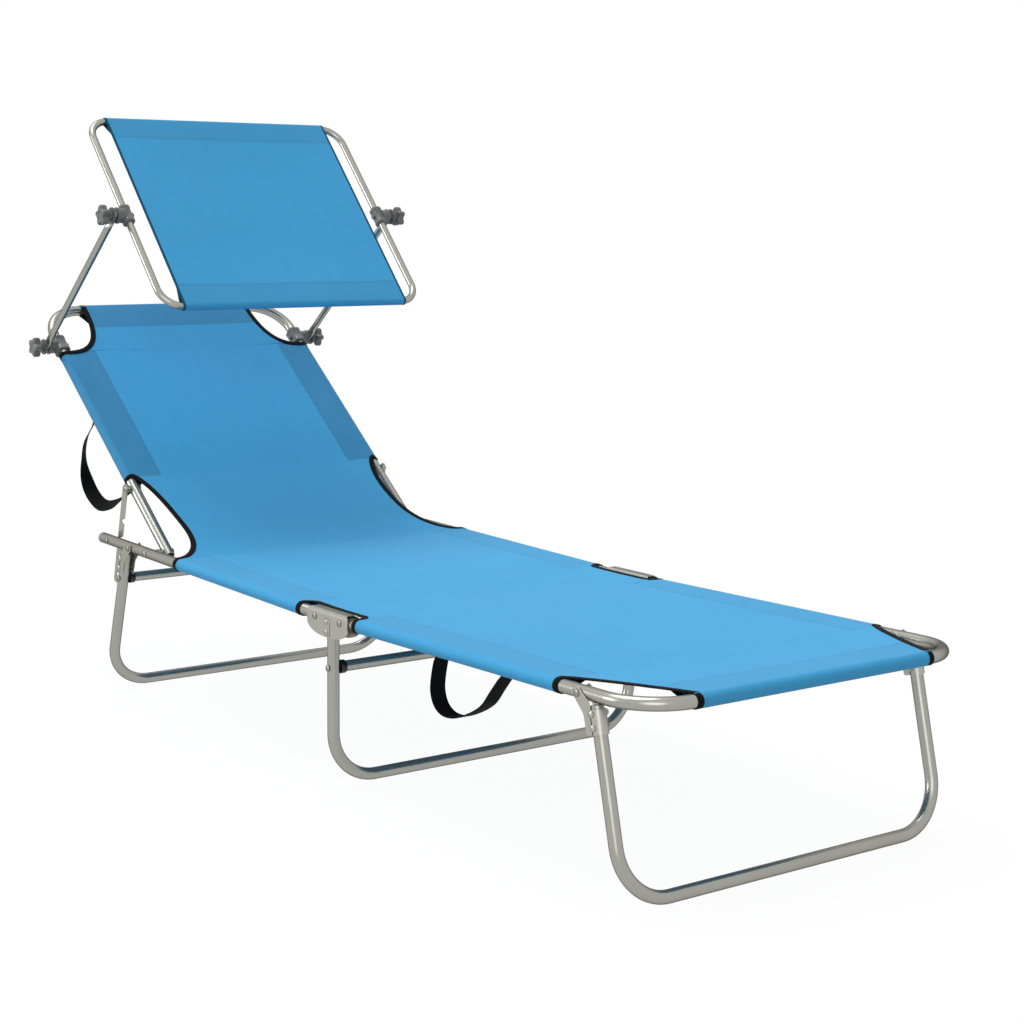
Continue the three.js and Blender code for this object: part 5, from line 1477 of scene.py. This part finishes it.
def head_corner_rows():
    """Places and half-widths from the backrest's sleeves to its head roll, by a superellipse."""
    angle = np.linspace(math.pi / 2, 0, 31)
    edge = backrest_half - (backrest_half - head_roll_x) * np.maximum(np.cos(angle), 0) ** 0.7
    along = backrest_length - (backrest_length - back_sleeve_end) * np.sin(angle) ** 0.8
    return along, edge


def plain_hem(along, start, stop):
    """Distance from a cross hem that covers from start to stop, below zero inside it."""
    return np.maximum(start - along, along - stop)


def back_cloth():
    """Rows of the seat and backrest cloth in one sheet, from the fold to the head roll."""
    rows = Rows()
    along, edge = notch_rows(seat_sleeve_start)
    rows.straight(seat_section, along, cloth_level, edge, side_x, 0)
    along = np.arange(seat_sleeve_start, seat_sleeve_end, row_step)
    rows.straight(seat_section, along, cloth_level, side_x, side_x, 1)
    points, normals, edge = hinge_path()
    first, count = sum(len(part) for part in rows.parts), len(points)
    rows.add(points, normals, edge, np.linspace(side_x, backrest_half, count),
             np.isin(np.arange(count), (0, count - 1)))
    along = np.arange(back_sleeve_start, back_sleeve_end, row_step)[1:]
    rows.straight(backrest_section, along, cloth_level, backrest_half, backrest_half, 1,
                  sag=fade(backrest_length - along, bed_sag_reach))
    along, edge = head_corner_rows()
    hem = plain_hem(along, backrest_length - sleeve_hem, beyond)
    rows.straight(backrest_section, along, cloth_level, edge, backrest_half, np.arange(len(along)) == 0,
                  hem, fade(backrest_length - along, bed_sag_reach))
    rows.roll(backrest_section, backrest_length, 1, cloth_level, head_roll_x, sleeve_hem, bed_sag_reach)
    rows.soften((first, first + count - 1))
    return rows


def foot_cloth():
    """Rows of the foot section's cloth, from the fold to the foot roll. Places run from the fold towards
    the foot, and at the corner the half-width falls from the tube to the roll as (1 - s^0.85)^1.05."""
    rows = Rows()
    along, edge = notch_rows(foot_sleeve_start)
    rows.straight(foot_section, -along, cloth_level, edge, side_x, 0)
    along = np.arange(foot_sleeve_start, foot_sleeve_end, row_step)
    rows.straight(foot_section, -along, cloth_level, side_x, side_x, 1,
                  sag=fade(foot_section_length - along, bed_sag_reach))
    share = clustered(44)
    along = foot_sleeve_end + (foot_section_length - foot_sleeve_end) * share
    edge = foot_roll_x + (side_x - foot_roll_x) * (1 - share**0.85) ** 1.05
    hem = plain_hem(along, foot_section_length - sleeve_hem, beyond)
    rows.straight(foot_section, -along, cloth_level, edge, side_x, np.arange(len(along)) == 0,
                  hem, fade(foot_section_length - along, bed_sag_reach))
    rows.roll(foot_section, -foot_section_length, -1, cloth_level, foot_roll_x, sleeve_hem, bed_sag_reach)
    return rows


def edge_spans(cloth):
    """First and last rows of each free stretch, between the cloth's ends and its stretches of sleeve."""
    edges = np.flatnonzero(np.diff(np.concatenate([[0], (cloth.sleeve > 0).astype(int), [0]])))
    stops = [0, *np.stack([edges[::2], edges[1::2] - 1], -1).ravel(), len(cloth.along) - 1]
    return list(zip(stops[::2], stops[1::2]))


def declare(cloth):
    """Work out a cloth's flat size and area; the smaller of its area and its cut rectangle is not used."""
    width, length = cloth.flat_size()
    min(cloth.area(), width * length)


class LOUNGER_OT_bed_cloth(bpy.types.Operator):
    """Build the bed's cloth with its sleeves, hems, cut-outs and black binding"""

    bl_idname = "lounger.bed_cloth"
    bl_label = "Bed cloth"

    def execute(self, context):
        sag = sizes().bed_sag
        # Painted shade on the doubled hems: weak on the seat, the fold and the foot, rising from 0.3 m to
        # full on the backrest
        low_hem_shade = 0.25
        rows = back_cloth()
        height = rows.table()[:, 1]
        light = low_hem_shade + (1 - low_hem_shade) * fade(height - 0.3, 60 * MM)
        back = Cloth(rows, cloth_level, sag, light)
        hinge_start = seat_section.place(0, seat_sleeve_end, cloth_level)
        hinge_end = backrest_section.place(0, back_sleeve_start, cloth_level)
        piece = back.make("back_and_seat_cloth")
        (_, seat_first), (seat_last, back_first), (back_last, last) = edge_spans(back)
        tapes = []
        for side, sign in SIDES:
            for name, body, first_row, last_row, rings in (
                ("seat_notch", "seat_frame", 0, seat_first, (False, True)),
                ("hinge", None, seat_last, back_first, (True, True)),
                ("head", "backrest", back_last, last, (True, False)),
            ):
                tape = edge_tape(back, sign, f"{side}_{name}_binding", first_row, last_row, rings)
                tapes.append(dress(tape, "binding", body))
                if body is None:
                    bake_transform(tape)
        declare(back)
        dress(piece, "blue_fabric", None, ["seat_fabric", "backrest_fabric"])
        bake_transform(piece)

        foot = Cloth(foot_cloth(), cloth_level, sag, low_hem_shade)
        piece = foot.make("foot_cloth")
        (_, foot_first), (foot_last, last) = edge_spans(foot)
        tapes = []
        for side, sign in SIDES:
            for name, first_row, last_row, rings in (
                ("foot_notch", 0, foot_first, (False, True)),
                ("foot_corner", foot_last, last, (True, False)),
            ):
                tape = edge_tape(foot, sign, f"{side}_{name}_binding", first_row, last_row, rings)
                tapes.append(dress(tape, "binding", "foot_section"))
        declare(foot)
        dress(piece, "blue_fabric", "foot_section", ["foot_fabric"])

        for name, body, other, section, way, tube in (
            ("fold_cloth_head_side", "seat_frame", "middle_legs", seat_section, 1, "left_seat_tube"),
            ("fold_cloth_foot_side", "middle_legs", "foot_section", foot_section, -1, "foot_frame_tube"),
        ):
            outer = section.place(0, way * fold_piece_end, cloth_level)[1:]
            inner = middle_section.place(0, 0, cloth_level)[1:]
            share = np.linspace(0, 1, 13)[:, None]
            start_normal = section.direction(0, 0, 1)[1:]
            normals = unit(start_normal * (1 - share) + np.array([0, 1.0]) * share)
            rows = Rows()
            rows.add(outer * (1 - share) + inner * share, normals, fold_cut_x, side_x, 0)
            fold = Cloth(rows, cloth_level, sag, low_hem_shade, sleeves=False)
            piece = fold.make(name)
            step = np.array([0, way * fold_piece_end, 0])
            near = section.place(0, 0, cloth_level) + step
            far = section.place(0, 0, cloth_level) - step
            tapes = []
            for side, sign in SIDES:
                tape = edge_tape(fold, sign, f"{side}_{name}_binding", 0, len(share) - 1)
                tapes.append(dress(tape, "binding", None))
            declare(fold)
            dress(piece, "blue_fabric", None)
            for blended in [piece, *tapes]:
                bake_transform(blended)
        return {"FINISHED"}


class LOUNGER_OT_canopy_cloth(bpy.types.Operator):
    """Build the canopy's cloth, with a sleeve round each of its cross tubes"""

    bl_idname = "lounger.canopy_cloth"
    bl_label = "Canopy cloth"

    def execute(self, context):
        top, bottom = -canopy_top_place, canopy_bottom_place
        rows = Rows()
        rows.roll(canopy_section, top, -1, canopy_level, canopy_cloth_x, canopy_hem, canopy_sag_reach)
        along = np.linspace(top, bottom, 110)
        hem = np.minimum(plain_hem(along, -beyond, top + canopy_hem),
                         plain_hem(along, bottom - canopy_hem, beyond))
        nearest = np.minimum(along - top, bottom - along)
        rows.straight(canopy_section, along, canopy_level, canopy_cloth_x, 0, 0, hem,
                      fade(nearest, canopy_sag_reach))
        rows.roll(canopy_section, bottom, 1, canopy_level, canopy_cloth_x, canopy_hem, canopy_sag_reach)
        # 0.35 is the strength of the painted shade on the canopy's doubled hems
        cloth = Cloth(rows, canopy_level, sizes().canopy_sag, 0.35, sleeves=False)
        piece = cloth.make("canopy_cloth")
        for side, sign in SIDES:
            # The folded edges are painted dark, as shade along the canopy's sides
            tape = edge_tape(cloth, sign, f"{side}_canopy_folded_edge", 0, len(cloth.along) - 1,
                             width=3.5 * MM, low=-1.2 * MM, high=0.62 * MM)
            dress(tape, "painted_shade_edge", "canopy")
        declare(cloth)
        dress(piece, "blue_fabric", "canopy", ["canopy_fabric"])
        return {"FINISHED"}


def smooth_route(points, count):
    """A centripetal Catmull-Rom curve through 2D points, sampled at even lengths."""
    points = np.asarray(points, float)
    points = np.concatenate([[2 * points[0] - points[1]], points, [2 * points[-1] - points[-2]]])
    knots = np.concatenate([[0], np.cumsum(np.linalg.norm(np.diff(points, axis=0), axis=1) ** 0.5)])
    pieces = []
    for i in range(1, len(points) - 2):
        t = np.linspace(knots[i], knots[i + 1], 24, endpoint=i == len(points) - 3)[:, None]
        p, k = points[i - 1: i + 3], knots[i - 1: i + 3]
        a = [p[j] + (p[j + 1] - p[j]) * (t - k[j]) / (k[j + 1] - k[j]) for j in range(3)]
        b = [a[j] + (a[j + 1] - a[j]) * (t - k[j]) / (k[j + 2] - k[j]) for j in range(2)]
        pieces.append(b[0] + (b[1] - b[0]) * (t - k[1]) / (k[2] - k[1]))
    dense = np.concatenate(pieces)
    length = np.concatenate([[0], np.cumsum(np.linalg.norm(np.diff(dense, axis=0), axis=1))])
    even = np.linspace(0, length[-1], count)
    return np.stack([np.interp(even, length, dense[:, i]) for i in range(2)], -1), even


def strap_piece(name, section, half, start, span, depth, way, route, turns):
    """A carry strap: flat webbing carried along its route, which lists shares of the span between its
    ends and of the depth of its loop. Both ends lie flat against the hem's lower layer. Turns lists
    shares of the strap's length and the degrees that it is twisted there about its own line."""
    width, thickness, inset = 25 * MM, 1.6 * MM, 28.5 * MM
    loop = loop_profile(cloth_level + cloth_thickness / 2, sleeve_hem)[0]
    hem_slope = math.atan2(loop[-3, 1] - loop[15, 1], -(loop[-3, 0] - loop[15, 0]))
    drop = np.interp(inset, -loop[15:-2, 0], loop[15:-2, 1]) - (thickness / 2 + MM) / math.cos(hem_slope)
    route = np.asarray(route, float)
    points, length = smooth_route(
        np.stack([way * (start + span * route[:, 0]), drop - depth * route[:, 1]], -1), 150)
    points[:, 1] = np.minimum(points[:, 1], drop)
    centres = section.place(-half + inset, points[:, 0], points[:, 1])
    twist = hem_slope * np.maximum(0, 1 - (drop - points[:, 1]) / width)[:, None]
    flat = np.cos(twist) * np.array([1.0, 0, 0]) + np.sin(twist) * section.direction(0, 0, 1)
    tangent = unit(np.gradient(centres, axis=0))
    places, degrees = np.transpose(turns)
    kernel = np.hanning(19)[1:-1]
    twisted = np.interp(length / length[-1], places, degrees)
    twisted = np.convolve(np.pad(twisted, 8, mode="edge"), kernel / kernel.sum(), "valid")
    angle = np.radians(twisted)[:, None]
    across = flat * np.cos(angle) + np.cross(tangent, flat) * np.sin(angle)
    off = unit(np.cross(tangent, across))
    corners = fillet([(-width / 2, -thickness / 2), (width / 2, -thickness / 2),
                      (width / 2, thickness / 2), (-width / 2, thickness / 2)], np.full(4, 0.5 * MM), 3)
    rings = centres[:, None] + corners[:, :1] * across[:, None] + corners[:, 1:] * off[:, None]
    return make_piece(name, ring_shell(rings, data={"length": np.repeat(length, len(corners))}), 50)


class LOUNGER_OT_straps(bpy.types.Operator):
    """Build the two carry straps of black webbing"""

    bl_idname = "lounger.straps"
    bl_label = "Carry straps"

    def execute(self, context):
        foot = strap_piece(
            "foot_carry_strap", foot_section, side_x, start=211 * MM, span=164 * MM, depth=82 * MM, way=-1,
            route=[[0.12, 0], [0.02, 0], [-0.06, 0.16], [-0.115, 0.45], [-0.14, 0.8], [-0.095, 1.02],
                   [0, 1.14], [0.15, 1.15], [0.33, 1.04], [0.565, 0.79], [0.69, 0.52], [0.81, 0.25],
                   [0.9, 0.05], [0.98, 0], [1.08, 0]],
            turns=[[0, 0], [1, 0]])
        dress(foot, "black_webbing", "foot_section", ["foot_strap"])
        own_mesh(foot)
        back = strap_piece(
            "back_carry_strap", backrest_section, backrest_half, start=190 * MM, span=159 * MM,
            depth=158 * MM, way=1,
            route=[[0.88, 0], [0.99, 0], [1.08, 0.14], [1.15, 0.42], [1.19, 0.66], [1.15, 0.82],
                   [1.07, 0.93], [0.95, 1.01], [0.8, 1.06], [0.61, 1.05], [0.44, 0.98], [0.28, 0.81],
                   [0.15, 0.6], [0.05, 0.36], [0, 0.14], [0.05, 0.01], [0.16, 0]],
            turns=[[0, 0], [0.08, 0], [0.16, -50], [0.36, -50], [0.46, 12], [0.55, 45], [0.72, 45],
                   [0.88, 0], [1, 0]])
        dress(back, "black_webbing", "backrest", ["backrest_strap"])
        return {"FINISHED"}


# Stage, lamps and camera


def seen_directly(tree):
    """1 for a ray from the camera, off a reflection or through clear material, and 0 for any other."""
    path = add_node(tree, "LightPath").outputs
    seen = add_node(tree, "Math", {"operation": "MAXIMUM"}, {
        0: path["Is Camera Ray"], 1: path["Is Glossy Ray"]})
    return add_node(tree, "Math", {"operation": "MAXIMUM"}, {
        0: seen.outputs[0], 1: path["Is Transmission Ray"]}).outputs[0]


def white_to_camera(name, colour, shade_share):
    """A floor finish: plain diffuse, which whatever sees it directly takes for white but for the object's
    shadow."""
    material, tree = new_material(name)
    diffuse = add_node(tree, "BsdfDiffuse", None, {"Color": (*colour, 1)})
    light = add_node(tree, "Emission", None, {"Color": (*from_hex("FFFFFF"), 1), "Strength": 1.06})
    share = add_node(tree, "Math", {"operation": "MULTIPLY"}, {0: seen_directly(tree), 1: shade_share})
    mixed = add_node(tree, "MixShader", None, {
        0: share.outputs[0], 1: diffuse.outputs["BSDF"], 2: light.outputs["Emission"]})
    add_node(tree, "OutputMaterial", None, {"Surface": mixed.outputs["Shader"]})
    return material


class LOUNGER_OT_stage(bpy.types.Operator):
    """Build the floor, world, lamps and camera"""

    bl_idname = "lounger.stage"
    bl_label = "Stage"

    def execute(self, context):
        scene = context.scene
        half, drop = 30.0, 0.2 * MM
        points = [[-half, -half, -drop], [half, -half, -drop], [half, half, -drop], [-half, half, -drop]]
        floor = make_piece("studio_floor", Shell(points, [[0, 1, 2, 3]]))
        floor.data.materials.append(white_to_camera("white floor", tuple(colours().floor), 0.9))

        world = bpy.data.worlds.new("white studio")
        world.use_nodes = True
        tree = world.node_tree
        tree.nodes.clear()
        level = add_node(tree, "MapRange", None, {
            "Value": seen_directly(tree), "To Min": 0.42, "To Max": 1.0})
        background = add_node(tree, "Background", None, {
            "Color": (*from_hex("FFFFFF"), 1), "Strength": level.outputs["Result"]})
        add_node(tree, "OutputWorld", None, {"Surface": background.outputs["Background"]})
        scene.world = world

        for name, way, strength, spread in (
            ("overhead", (0.12, -0.32, -0.95), 1.65, 40),
            ("front left", (0.62, 0.75, -0.32), 0.6, 40),
            ("left rim", (0.8, -0.5, -0.25), 0.8, 20),
        ):
            lamp = bpy.data.lights.new(name, "SUN")
            lamp.energy = strength
            lamp.angle = math.radians(spread)
            # A sun lamp shines the same wherever it stands; it is turned to shine along its way
            holder = bpy.data.objects.new(name, lamp)
            holder.location = (-1.5, -1.5, 2.5)
            way = unit(np.array(way))
            holder.rotation_euler = (math.acos(-way[2]), 0, math.atan2(way[1], way[0]) - math.pi / 2)
            scene.collection.objects.link(holder)

        camera = bpy.data.cameras.new("camera")
        camera.lens = sizes().camera_lens
        camera.sensor_width = 36
        holder = bpy.data.objects.new("camera", camera)
        holder.location = (-1.8115, -2.6265, 0.8542)
        # Turned from +Y to the right, then down, then about its own line of sight, in radians
        yaw, pitch, roll = 0.6483, 0.1539, 0.0121
        forward = np.array([
            math.sin(yaw) * math.cos(pitch), math.cos(yaw) * math.cos(pitch), -math.sin(pitch)])
        right = np.array([math.cos(yaw), -math.sin(yaw), 0])
        up = np.cross(right, forward)
        side = math.cos(roll) * right + math.sin(roll) * up
        top = -math.sin(roll) * right + math.cos(roll) * up
        matrix = np.eye(4)
        matrix[:3, 0], matrix[:3, 1], matrix[:3, 2] = side, top, -forward
        matrix[:3, 3] = holder.location
        holder.matrix_world = Matrix(matrix.tolist())
        scene.collection.objects.link(holder)
        scene.camera = holder
        scene.view_settings.view_transform = "Standard"
        return {"FINISHED"}


class LOUNGER_PT_panel(bpy.types.Panel):
    """Sizes, colours and building steps of the lounger"""

    bl_idname = "LOUNGER_PT_panel"
    bl_label = "Sun lounger"
    bl_space_type = "VIEW_3D"
    bl_region_type = "UI"
    bl_category = "Lounger"

    def draw(self, context):
        layout = self.layout
        for group in (context.scene.lounger_sizes, context.scene.lounger_colours):
            for name in group.__annotations__:
                layout.prop(group, name)
        for step in STEPS:
            layout.operator(step.bl_idname)


STEPS = (
    LOUNGER_OT_stage, LOUNGER_OT_frame_tubes, LOUNGER_OT_legs, LOUNGER_OT_braces, LOUNGER_OT_rivets,
    LOUNGER_OT_brackets, LOUNGER_OT_canopy_frame, LOUNGER_OT_bed_cloth, LOUNGER_OT_canopy_cloth,
    LOUNGER_OT_straps,
)
CLASSES = (LoungerSizes, LoungerColours, *STEPS, LOUNGER_PT_panel)


def register():
    """Register the classes, and give the scene its sizes and colours."""
    for item in CLASSES:
        bpy.utils.register_class(item)
    bpy.types.Scene.lounger_sizes = bpy.props.PointerProperty(type=LoungerSizes)
    bpy.types.Scene.lounger_colours = bpy.props.PointerProperty(type=LoungerColours)


def unregister():
    """Undo what register does."""
    del bpy.types.Scene.lounger_colours
    del bpy.types.Scene.lounger_sizes
    for item in reversed(CLASSES):
        bpy.utils.unregister_class(item)


def main():
    register()
    for step in STEPS:
        group, name = step.bl_idname.split(".")
        getattr(getattr(bpy.ops, group), name)()


if __name__ == "__main__":
    main()
